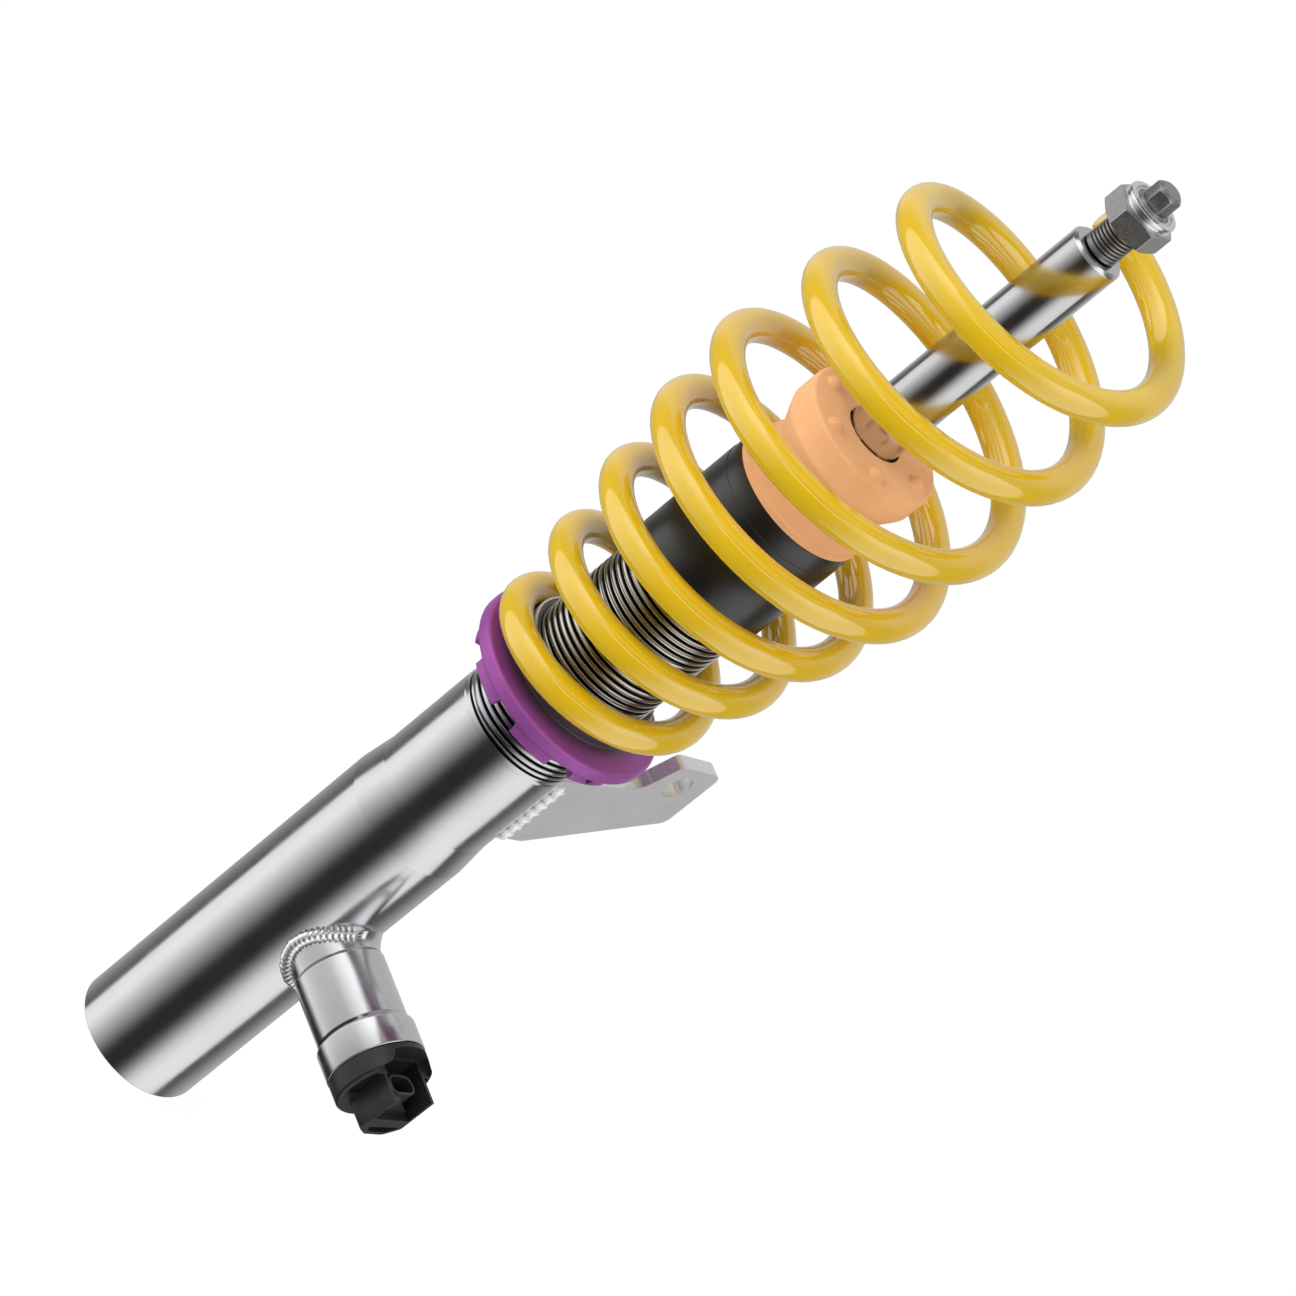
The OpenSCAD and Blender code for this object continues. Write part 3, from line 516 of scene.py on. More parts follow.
def mix(tree, share, first, second, **settings):
    """Mix two colours, each a socket, a colour or a grey value."""
    node = add(tree, "ShaderNodeMix", {0: share}, data_type="RGBA", **settings)
    for slot, value in ((6, first), (7, second)):
        if isinstance(value, bpy.types.NodeSocket):
            tree.links.new(value, node.inputs[slot])
        else:
            tint = value if hasattr(value, "__len__") else [value] * 3
            node.inputs[slot].default_value = (*tint, 1)
    return node.outputs[2]


def bump(tree, height, depth, normal):
    """Raise a height by a depth in mm, over the bumps that came before."""
    inputs = {"Strength": 1.0, "Distance": depth * MM, "Height": height}
    if normal:
        inputs["Normal"] = normal
    return add(tree, "ShaderNodeBump", inputs).outputs["Normal"]


def cloudy_tone(tree, given):
    """Slow cloudy change between two values."""
    scale = calc(tree, "DIVIDE", 1.0, given["Size"])
    clouds = noise(tree, given["Place"], scale, 3.0, 0.55)
    return remap(tree, clouds, 0.3, 0.7, given["Low"], given["High"])


def fine_grain(tree, given):
    """Fine moulded or sprayed grain, as a height, with or without pores."""
    scale = calc(tree, "DIVIDE", 1.0, given["Size"])
    grit = noise(tree, given["Place"], scale, 4.0)
    cells = add(
        tree, "ShaderNodeTexVoronoi", {"Vector": given["Place"], "Scale": scale}
    )
    pits = remap(tree, cells.outputs["Distance"], 0.05, 0.35, -1.0, 0.0)
    return calc(tree, "MULTIPLY_ADD", pits, given["Pores"], grit)


def turning_lines(tree, given):
    """Turned or brushed lines: noise that changes across one direction alone."""
    flat = vector_calc(tree, "MULTIPLY", given["Place"], given["Across"])
    scale = calc(tree, "DIVIDE", 1.0, given["Spacing"])
    return noise(tree, flat, scale, 3.0, 0.7)


def painted_edge_highlight(tree, given):
    """A mask of the sharp edges, broken up, where a highlight is painted along them."""
    face = add(tree, "ShaderNodeNewGeometry").outputs["Normal"]
    edge = add(tree, "ShaderNodeBevel", {"Radius": given["Width"]}, samples=4)
    facing = vector_calc(tree, "DOT_PRODUCT", face, edge.outputs["Normal"])
    bent = remap(tree, facing, 0.98, 0.8)
    kept = remap(tree, noise(tree, given["Place"], 0.35, 3.0), 0.4, 0.6)
    return calc(
        tree, "MULTIPLY", calc(tree, "MULTIPLY", bent, kept), given["Strength"]
    )


def painted_hollow_shade(tree, given):
    """A mask of painted shade in thread roots and hollows, by the distance from the
    strut's axis, between two heights.
    """
    flat = vector_calc(tree, "MULTIPLY", given["Place"], (1, 1, 0))
    radius = vector_calc(tree, "LENGTH", flat)
    deep = remap(tree, radius, given["Crest"], given["Root"], soft=True)
    height = coordinate(tree, given["Place"])
    above = calc(tree, "GREATER_THAN", height, given["Foot"])
    below = calc(tree, "LESS_THAN", height, given["Head"])
    return calc(tree, "MULTIPLY", deep, calc(tree, "MULTIPLY", below, above))


# Each shared effect: what builds it, its output, and its inputs beside the place
EFFECTS = {
    "Cloudy tone": (cloudy_tone, "Value", {"Size": 20.0, "Low": 0.0, "High": 1.0}),
    "Fine grain": (fine_grain, "Height", {"Size": 0.5, "Pores": 0.0}),
    "Turning lines": (
        turning_lines,
        "Height",
        {"Across": (0.0, 0.0, 1.0), "Spacing": 0.3},
    ),
    "Painted edge highlight": (painted_edge_highlight, "Mask", {"Width": 0.0005, "Strength": 1.0}),
    "Painted shade in hollows": (
        painted_hollow_shade,
        "Mask",
        {"Root": 24.8, "Crest": 25.8, "Foot": 200.0, "Head": 1000.0},
    ),
}


def effect_group(name):
    """The node group of an effect, built the first time that it is asked for."""
    if name in bpy.data.node_groups:
        return bpy.data.node_groups[name]
    build, output, defaults = EFFECTS[name]
    tree = bpy.data.node_groups.new(name, "ShaderNodeTree")
    tree.interface.new_socket("Place", in_out="INPUT", socket_type=VECTOR)
    for socket, default in defaults.items():
        kind = VECTOR if isinstance(default, tuple) else FLOAT
        made = tree.interface.new_socket(socket, in_out="INPUT", socket_type=kind)
        made.default_value = default
    tree.interface.new_socket(output, in_out="OUTPUT", socket_type=FLOAT)
    result = build(tree, tree.nodes.new("NodeGroupInput").outputs)
    tree.links.new(result, tree.nodes.new("NodeGroupOutput").inputs[output])
    return tree


def use(tree, effect, place, **values):
    """Place an effect in a material, with the material's own values."""
    inputs = {"Place": place, **values}
    group = effect_group(effect)
    return add(tree, "ShaderNodeGroup", inputs, node_tree=group).outputs[0]


# What a finish may have, with every distance in mm
Lines = namedtuple("Lines", "across spacing depth")
Grain = namedtuple("Grain", "size depth pores", defaults=(0.0,))
EdgeHighlight = namedtuple("EdgeHighlight", "width strength tint")
PaintedShade = namedtuple("PaintedShade", "root crest foot head grey")
Zone = namedtuple("Zone", "axis low high tint roughness mark_spacing mark_depth")

ROUND_STRUT = (0.0, 0.0, 1.0)
ROUND_VALVE = (1.0, 0.0, 0.0)
ALONG_X = (0.0, 1.0, 1.0)


def finish(
    name,
    base,
    metallic=0.0,
    roughness=(0.3, 0.4),
    spread=0.04,
    cloud=18.0,
    grain=None,
    lines=None,
    edge_highlight=None,
    groove=None,
    zone=None,
    coat=0.0,
    coat_roughness=0.05,
    coat_index=1.5,
    specular=0.5,
):
    """A finish with cloudy tone, uneven gloss, grain or turning lines, painted edge
    highlights and painted shade in hollows.
    """
    if name in bpy.data.materials:
        return bpy.data.materials[name]
    material = bpy.data.materials.new(name)
    material.use_nodes = True
    material.diffuse_color = (*base, 1.0)
    tree = material.node_tree
    shader = tree.nodes["Principled BSDF"].inputs
    shader["Metallic"].default_value = metallic
    shader["Coat Weight"].default_value = coat
    shader["Coat Roughness"].default_value = coat_roughness
    shader["Coat IOR"].default_value = coat_index
    shader["Specular IOR Level"].default_value = specular
    where = add(tree, "ShaderNodeTexCoord").outputs["Object"]
    place = vector_calc(tree, "SCALE", where, scale=1 / MM)

    darker, lighter = (
        [min(1.0, channel * (1 + way)) for channel in base] for way in (-spread, spread)
    )
    shown = mix(tree, use(tree, "Cloudy tone", place, Size=cloud), darker, lighter)
    gloss = use(
        tree,
        "Cloudy tone",
        place,
        Size=cloud * 0.35,
        Low=roughness[0],
        High=roughness[1],
    )
    normal = None
    # painted highlight: lighter along the sharp edges
    if edge_highlight:
        highlight_mask = use(
            tree, "Painted edge highlight", place, Width=edge_highlight.width * MM, Strength=edge_highlight.strength
        )
        shown = mix(tree, highlight_mask, shown, edge_highlight.tint)
    # painted shade: darker towards the strut's axis, between two heights
    if groove:
        deep = use(
            tree,
            "Painted shade in hollows",
            place,
            Root=groove.root,
            Crest=groove.crest,
            Foot=groove.foot,
            Head=groove.head,
        )
        shown = mix(tree, deep, shown, groove.grey)
    if zone:
        # a band between two places along an axis has a look of its own
        along = coordinate(tree, place, zone.axis)
        off = calc(tree, "SUBTRACT", along, (zone.low + zone.high) / 2)
        off = calc(tree, "ABSOLUTE", off)
        inside = calc(tree, "LESS_THAN", off, (zone.high - zone.low) / 2)
        shown = mix(tree, inside, shown, zone.tint)
        change = zone.roughness - roughness[0]
        gloss = calc(tree, "MULTIPLY_ADD", inside, change, gloss)
        if zone.mark_depth:
            marks = use(
                tree,
                "Turning lines",
                place,
                Across=ALONG_X,
                Spacing=zone.mark_spacing,
            )
            raised = calc(tree, "MULTIPLY", marks, inside)
            normal = bump(tree, raised, zone.mark_depth, normal)
    if lines:
        turning = use(
            tree, "Turning lines", place, Across=lines.across, Spacing=lines.spacing
        )
        normal = bump(tree, turning, lines.depth, normal)
    if grain:
        fine = use(tree, "Fine grain", place, Size=grain.size, Pores=grain.pores)
        normal = bump(tree, fine, grain.depth, normal)
    tree.links.new(shown, shader["Base Color"])
    tree.links.new(gloss, shader["Roughness"])
    if normal:
        tree.links.new(normal, shader["Normal"])
    return material


def finishes(colours):
    """Every finish of the strut, by the record's material slot."""
    return {
        "polished_steel": finish(
            "Polished tube",
            colours.tube,
            metallic=1.0,
            roughness=(0.13, 0.19),
            spread=0.025,
            cloud=30.0,
            lines=Lines(ROUND_STRUT, 0.35, 0.0006),
            # painted shade in the thread's roots
            groove=PaintedShade(25.45, 26.0, THREAD_FOOT - 1.6, THREAD_TOP + 2.0, 0.03),
        ),
        "rod_chrome": finish(
            "Hard chrome",
            colours.chrome,
            metallic=1.0,
            roughness=(0.12, 0.18),
            spread=0.015,
            cloud=25.0,
            lines=Lines(ROUND_STRUT, 0.2, 0.0003),
        ),
        "valve_steel": finish(
            "Turned valve steel",
            colours.valve,
            metallic=1.0,
            roughness=(0.16, 0.22),
            spread=0.03,
            cloud=12.0,
            lines=Lines(ROUND_VALVE, 0.25, 0.0006),
        ),
        "weld_metal": finish(
            "Weld metal",
            colours.weld,
            metallic=0.85,
            roughness=(0.14, 0.22),
            spread=0.08,
            cloud=1.6,
            grain=Grain(0.9, 0.004),
        ),
        # the bead is white all over: a painted highlight for the glints of its weld
        # metal
        "bracket_weld": finish(
            "Bracket weld painted white",
            (1.0, 1.0, 1.0),
            roughness=(0.22, 0.3),
            spread=0.03,
            cloud=2.4,
            grain=Grain(0.9, 0.003),
            coat=0.8,
            coat_index=1.8,
        ),
        "bracket_steel": finish(
            "Bracket steel",
            colours.plate,
            metallic=0.8,
            roughness=(0.42, 0.48),
            spread=0.015,
            cloud=30.0,
            lines=Lines(ALONG_X, 0.9, 0.004),
            # the sawn edge between the plate's two faces
            zone=Zone(
                axis="X",
                low=PLATE_LOW.x + 0.25,
                high=PLATE_HIGH.x - 0.25,
                tint=(0.84, 0.84, 0.84),
                roughness=0.15,
                mark_spacing=1.0,
                mark_depth=0.25,
            ),
        ),
        "plain_steel": finish(
            "Machined steel",
            (0.52, 0.53, 0.55),
            metallic=1.0,
            roughness=(0.25, 0.38),
            spread=0.05,
            lines=Lines(ROUND_STRUT, 0.3, 0.002),
        ),
        "sintered_iron": finish(
            "Sintered iron",
            (0.34, 0.34, 0.34),
            metallic=0.9,
            roughness=(0.45, 0.6),
            spread=0.12,
            cloud=4.0,
            grain=Grain(0.35, 0.02, pores=0.8),
        ),
        "bronze": finish(
            "Bronze",
            (0.62, 0.44, 0.22),
            metallic=1.0,
            roughness=(0.25, 0.4),
            spread=0.08,
            grain=Grain(0.4, 0.004),
        ),
        "black_rubber": finish(
            "Black rubber",
            (0.022, 0.022, 0.022),
            roughness=(0.5, 0.7),
            spread=0.15,
            cloud=6.0,
            grain=Grain(0.4, 0.01),
        ),
        "copper_winding": finish(
            "Enamelled winding",
            (0.5, 0.2, 0.07),
            metallic=0.8,
            roughness=(0.2, 0.35),
            spread=0.1,
            cloud=5.0,
            lines=Lines(ROUND_VALVE, 0.5, 0.12),
        ),
        "connector_plastic": finish(
            "Black connector plastic",
            colours.plastic,
            roughness=(0.34, 0.46),
            spread=0.12,
            cloud=10.0,
            grain=Grain(0.3, 0.006),
            # painted highlight along the connector's sharp edges
            edge_highlight=EdgeHighlight(0.4, 0.8, (0.12, 0.12, 0.12)),
        ),
        "band_plastic": finish(
            "Piston band",
            (0.09, 0.12, 0.12),
            roughness=(0.3, 0.45),
            spread=0.08,
            grain=Grain(0.4, 0.004),
        ),
        "ring_plastic": finish(
            "Pale slide ring",
            (0.62, 0.63, 0.64),
            roughness=(0.25, 0.36),
            spread=0.03,
            cloud=10.0,
            grain=Grain(0.5, 0.003),
        ),
        "spring_paint": finish(
            "Yellow powder coat",
            colours.spring,
            roughness=(0.3, 0.4),
            spread=0.025,
            cloud=14.0,
            grain=Grain(1.6, 0.006),
            coat=1.0,
            coat_roughness=0.04,
            coat_index=2.0,
            specular=0.15,
        ),
        "perch_purple": finish(
            "Purple anodising",
            colours.perch,
            metallic=0.35,
            roughness=(0.34, 0.44),
            spread=0.06,
            cloud=14.0,
            lines=Lines(ROUND_STRUT, 0.4, 0.0015),
            # painted highlight along the perch's sharp edges
            edge_highlight=EdgeHighlight(0.6, 0.8, (0.56, 0.36, 0.6)),
            # painted shadow of the spring, dark on the flange's top face and the hub
            groove=PaintedShade(27.0, 36.5, FLANGE_TOP - 0.4, 300.0, 0.105),
        ),
        "black_steel": finish(
            "Black oxide",
            (0.11, 0.10, 0.115),
            metallic=0.7,
            roughness=(0.35, 0.5),
            spread=0.15,
            grain=Grain(0.4, 0.005),
        ),
        "bump_foam": finish(
            "Orange foam",
            colours.foam,
            roughness=(0.6, 0.75),
            spread=0.05,
            cloud=9.0,
            grain=Grain(0.55, 0.02, pores=0.35),
            specular=0.3,
            # painted shade inside the vents
            groove=PaintedShade(
                11.75, 12.0, FOAM_LOW.z, SLEEVE_TOP + FOAM_RISE - 0.4, 0.015
            ),
        ),
        "sleeve_plastic": finish(
            "Black sleeve",
            colours.sleeve,
            specular=0.9,
            roughness=(0.27, 0.34),
            spread=0.1,
            cloud=16.0,
            grain=Grain(0.4, 0.003),
        ),
        "zinc_steel": finish(
            "Zinc plating",
            colours.nut,
            metallic=1.0,
            roughness=(0.26, 0.4),
            spread=0.1,
            cloud=2.0,
            grain=Grain(0.35, 0.012),
            # painted highlight along the nut's sharp edges and chamfers
            edge_highlight=EdgeHighlight(0.5, 1.0, (0.9, 0.9, 0.92)),
            # the bright collar above the hexagon
            zone=Zone(
                axis="Z",
                low=NUT_COLLAR_H,
                high=700.0,
                tint=(0.82, 0.82, 0.84),
                roughness=0.12,
                mark_spacing=1.0,
                mark_depth=0.0,
            ),
        ),
        "stud_steel": finish(
            "Dark phosphate",
            colours.stud,
            metallic=0.9,
            roughness=(0.3, 0.42),
            spread=0.1,
            cloud=2.5,
            # painted shade in the stud's thread roots
            groove=PaintedShade(6.45, 6.95, SHOULDER_H - 20, STUD_TOP - 1.0, 0.05),
        ),
    }


# ---------------------------------------------------------------- pieces


def make_tube(sizes, looks):
    """The strut tube: foot, polished shank, soft taper and rounded thread."""
    radius, thread_radius = TUBE_HIGH.x, THREAD_RADIUS
    wall = 3.0
    body = turned(
        "Strut_tube",
        [
            (thread_radius - 1.1, THREAD_FOOT, 0),
            (thread_radius - 1.1, THREAD_FOOT - 1.1, 0.3),
            (thread_radius - 0.35, THREAD_FOOT - 1.6, 0.2),
            (thread_radius - 0.35, THREAD_FOOT - 3.2, 0.4),
            (thread_radius, THREAD_FOOT - 4.0, 0.6),
            (thread_radius, TAPER_TOP, 4.0),
            (radius, SHANK_H, 2.5),
            (radius, 60.0, 0),
            (radius, 0.0, 0.5),
            (radius - wall, 0.0, 0.3),
            (radius - wall, SHANK_H, 4.0),
            (thread_radius - wall, TAPER_TOP, 4.0),
            (thread_radius - wall, TUBE_HIGH.z, 0.3),
            (thread_radius - 0.4, TUBE_HIGH.z, 0.2),
            (thread_radius, THREAD_TOP + 0.5, 0),
        ],
        steps=144,
        closed=False,
    )
    helix = thread(
        "Tube_thread",
        thread_radius,
        sizes.thread_depth / MM,
        sizes.thread_pitch / MM,
        THREAD_FOOT,
        THREAD_TOP,
    )
    join(body, helix)
    bridge_near(body, THREAD_FOOT)
    bridge_near(body, THREAD_TOP)
    close_shell(body, tolerance=0.0005)
    done(body, "strut", looks, "polished_steel", "strut_tube")


def on_tube(across, extra=0.0):
    """Distance along the valve to the lower tube's surface."""
    return math.sqrt(max(0.0, (TUBE_HIGH.x + extra) ** 2 - across**2))


def flare_share(angle):
    """1 above the boss's far side, where it flows into the tube, 0 beside the weld."""
    middle, half, fade = 60, 48, 14
    off = abs((math.degrees(angle) - middle + 180) % 360 - 180)
    share = max(0.0, min(1.0, (half - off) / fade))
    return share * share * (3 - 2 * share)


def scale_of(ring, per_ripple):
    """How far one scale of a weld has risen, from 0 at its start to 1."""
    return 1 - (1 - ring % per_ripple / per_ripple) ** 2.2


def make_boss(sizes, looks):
    """The welded boss: its foot follows the tube, and flows into it on top."""
    radius, bore, flare = 17.0, 13.0, 3.6
    start, end = 20.0, HOUSING_LOW.x
    run, rows = end - 0.5 - start, 10
    skirt = turned(
        "Valve_boss",
        [(radius, start + run * k / rows, 0) for k in range(rows + 1)]
        + [(radius - 0.5, end - 0.05, 0), (bore, end - 0.05, 0), (bore, start, 0)],
        steps=144,
        along_valve=True,
    )
    for vertex in skirt.data.vertices:
        place = vertex.co / MM
        out = Vector((place.y, place.z - VALVE_H))
        if out.length < radius - 0.2:
            continue
        angle = math.atan2(out.y, out.x)
        share = (place.x - start) / run
        wide = radius + flare_share(angle) * flare * (1 - share) ** 2.4
        across, up = wide * math.cos(angle), wide * math.sin(angle)
        foot = on_tube(across, -0.25)
        vertex.co = Vector(
            (foot + (end - 0.5 - foot) * share, across, VALVE_H + up)
        ) * MM
    done(skirt, "strut", looks, "valve_steel", "valve_boss", degrees=40)

    ripples, per_ripple = 40, 8
    rings = ripples * per_ripple + 1
    first, sweep = math.radians(106), math.radians(268)
    bead, bead_radius = sizes.weld / MM / 2, radius + 0.6

    def path(share):
        """The middle of the bead, and its angle round the valve."""
        angle = first + sweep * share
        across, up = bead_radius * math.cos(angle), bead_radius * math.sin(angle)
        rise = 0.2 + 0.6 * abs(math.cos(angle))
        return Vector((on_tube(across) + rise, across, VALVE_H + up)), angle

    def place(ring, round_bead):
        share = ring / (rings - 1)
        here, angle = path(share)
        ahead = path(share + 0.001)[0] - path(share - 0.001)[0]
        ahead.normalize()
        outward = Vector((0.75, math.cos(angle), math.sin(angle))).normalized()
        outward = (outward - ahead * outward.dot(ahead)).normalized()
        side = ahead.cross(outward)
        wobble = math.sin(ring // per_ripple * 2.4) * 0.05
        swell = bead * (0.6 + 0.44 * scale_of(ring, per_ripple) + wobble)
        taper = min(1.0, share * 30 + 0.7, (1 - share) * 30 + 0.7)
        spoke = outward * math.cos(round_bead) + side * math.sin(round_bead)
        lag = 1.1 * (1 - math.cos(round_bead))
        return here + spoke * swell * taper - ahead * lag * taper

    weld = rolled("Boss_weld", rings, 16, place)
    done(weld, "strut", looks, "weld_metal", "boss_weld_bead", degrees=28)


def make_valve(looks):
    """Housing with its seam and groove, and the crimped collar."""
    start, end = HOUSING_LOW.x, COLLAR_LOW.x
    radius, lip = HOUSING_HIGH.y, 16.5
    bore, cavity = 12.5, 14.5
    housing = turned(
        "Valve_housing",
        [
            (bore, start + 0.15, 0),
            (16.9, start + 0.15, 0.1),
            (radius, start + 0.75, 0.3),
            (radius, end - 1.8, 1.0),
            (radius - 0.5, end - 0.7, 0.7),
            (radius - 0.5, end, 0),
            (lip, end, 0),
            (lip, end + 6.4, 0),
            (cavity, end + 6.4, 0),
            (cavity, start + 4.0, 0),
            (bore, start + 4.0, 0),
        ],
        steps=144,
        along_valve=True,
    )
    done(housing, "strut", looks, "valve_steel", "valve_housing")
    start, end = COLLAR_LOW.x, COLLAR_HIGH.x
    radius, mouth = COLLAR_HIGH.y, 17.3
    collar = turned(
        "Crimp_collar",
        [
            (lip, start + 0.05, 0),
            (radius, start + 0.05, 1.0),
            (radius, end, 0.5),
            (mouth, end, 0.3),
            (mouth, start + CRIMP_DEPTH, 0),
            (lip, start + CRIMP_DEPTH, 0),
        ],
        steps=144,
        along_valve=True,
    )
    done(collar, "strut", looks, "valve_steel", "crimp_collar")


def valve_box(name, low, high):
    """A cutter or wall with square corners, from two corners relative to the valve."""
    (x0, y0, z0), (x1, y1, z1) = low, high
    corners = ((x0, y0), (x1, y0), (x1, y1), (x0, y1))
    return prism(name, [(x, y, VALVE_H + z0) for x, y in corners], (0, 0, z1 - z0))


def valve_slab(name, along, points, thick):
    """A slab across the valve: (across, up) points, pulled along the valve."""
    return prism(
        name, [(along, across, VALVE_H + up) for across, up in points], (thick, 0, 0)
    )


def valve_wall(name, start, end, across, low, high, thick=1.2):
    """A wall along the valve, with its inner or outer face at a distance across."""
    corners = ((start, low), (end, low), (end, high), (start, high))
    return prism(
        name, [(along, across, VALVE_H + up) for along, up in corners], (0, thick, 0)
    )


def socket_oval(middle, inset):
    """The socket's outline, or its bore's where it is set in from the ring's."""
    near, far = middle - 4.1 + inset, middle + 4.1 - inset
    low, high = -6.6 + inset, 5.5 - inset
    corners = [
        (near, low, 3.6 - inset),
        (far, low, 3.0 - inset),
        (far, high, 3.0 - inset),
        (near, high, 3.6 - inset),
    ]
    return [(p.x, p.y, VALVE_H - 3.5) for p in rounded(corners, steps=6)]


def make_connector(looks):
    """The connector: round base with a scalloped pocket, channel, socket and web."""
    start, end, tip = COLLAR_HIGH.x + 0.3, 82.7, 94.0
    seat = COLLAR_LOW.x + CRIMP_DEPTH
    near_y, far_y = -9.5, 9.7
    plug, radius = 17.2, 18.75
    base = turned(
        "Connector",
        [
            (0.0, seat, 0),
            (plug, seat, 0.3),
            (plug, start, 0),
            (radius, start, 0.3),
            (radius, end, 1.6),
            (0.0, end, 0),
        ],
        steps=128,
        along_valve=True,
    )
    # the channel runs on into the base, under a pocket with curved flanks
    combine(base, valve_box("Well_cutter", (start + 2.4, -8.3, 1.5), (tip, far_y, 24)))
    scallop = rounded(
        [
            (-8.6, start + 1.9, 2.2),
            (11.6, start + 1.9, 2.6),
            (14.2, end - 2.5, 2.0),
            (14.2, end + 6, 0),
            (-13.8, end + 6, 0),
            (-13.8, end - 1.2, 1.6),
            (-10.4, end - 2.0, 2.0),
            (-8.6, start + 4.5, 1.6),
        ],
        steps=6,
    )
    pocket = prism(
        "Pocket_cutter", [(p.y, p.x, VALVE_H + 10.2) for p in scallop], (0, 0, 14)
    )
    combine(base, pocket)
    # beside each wall the end face lies deep inside its rim
    floor, rim, inner = end - 2.0, 16.95, 9.4
    crescent = [polar(rim, degrees) for degrees in range(33, -16, -4)]
    crescent += [(inner, crescent[-1][1]), (inner, crescent[0][1])]
    for side in (-1, 1):
        points = [(side * across, up) for across, up in crescent]
        combine(base, valve_slab("Recess_cutter", floor, points, 3.0))
    # the block below the socket, the two walls beside it and the web across its end
    root = floor - 0.5
    block = rounded(
        [
            (near_y, -3.0, 0),
            (-11.2, -9.0, 3.2),
            (-4.5, -13.0, 3.5),
            (5.0, -12.9, 4.0),
            (10.9, -8.4, 1.5),
            (10.9, -3.0, 0),
        ],
        steps=4,
    )
    web = [(-8.6, -4.0), (10.0, -4.0), (10.0, -2.4), (-4.2, 7.3), (-8.6, 8.0)]
    combine(base, valve_slab("Connector_block", root, block, tip - root), "UNION")
    combine(base, valve_wall("Near_wall", root, tip, near_y, -4.0, 9.6), "UNION")
    combine(base, valve_wall("Far_wall", root, tip, far_y, -4.0, 10.2), "UNION")
    combine(base, valve_slab("End_web", tip - 4.2, web, 0.9), "UNION")
    # the slanted facet along the near wall's end, which runs out at the wall's top
    clear, facet = tip + 1.0, -9.45
    low = VALVE_H - 8.2
    slant = prism(
        "Slant_cutter",
        [
            (tip - 6.0, -10.99, low),
            (tip - 6.0, -14.0, low),
            (clear, -14.0, low),
            (clear, facet, low),
        ],
        (0, 1.25, 9.6),
    )
    combine(base, slant)
    low = VALVE_H + 1.35
    run_out = prism(
        "Run_out_cutter",
        [
            (tip - 4.9, near_y, low),
            (tip - 4.9, near_y - 1, low),
            (clear, near_y - 1, low),
            (clear, -8.2, low),
        ],
        (0, 0, 8.3),
    )
    for vertex in run_out.data.vertices:
        if vertex.co.z / MM > VALVE_H + 5:
            vertex.co.x = max(vertex.co.x, (tip - 0.4) * MM)
            vertex.co.y = min(vertex.co.y, facet * MM)
    combine(base, run_out)
    slot = rounded(
        [
            (-7.6, -8.3, 1.0),
            (9.6, -7.4, 0.3),
            (7.4, -9.6, 1.4),
            (4.4, -11.4, 1.5),
            (-3.4, -11.4, 1.8),
        ]
    )
    combine(base, valve_slab("Slot_cutter", tip - 3.0, slot, 4.0))
    # the oval socket with its lock tab, bore and two blade slots
    middle, wall = 85.7, 0.85
    ring = prism("Socket_ring", socket_oval(middle, 0.0), (0, 0, 11.8))
    combine(base, ring, "UNION")
    tab = valve_box("Lock_tab", (middle + 3.6, -5.6, 1.0), (middle + 6.4, -3.4, 7.6))
    combine(base, tab, "UNION")
    bore = prism("Socket_bore", socket_oval(middle, wall), (0, 0, 20))
    for vertex in bore.data.vertices:
        vertex.co.z += 2.5 * MM
    combine(base, bore)
    thick, wide = 0.42, 0.95
    for across in (-2.4, 2.4):
        low = (middle - thick, across - wide, -6)
        high = (middle + thick, across + wide, 0)
        combine(base, valve_box("Blade_cutter", low, high))
    break_edges(base, 0.22, degrees=38)
    done(
        base,
        "strut",
        looks,
        "connector_plastic",
        "connector_housing",
        degrees=36,
        flat=True,
    )


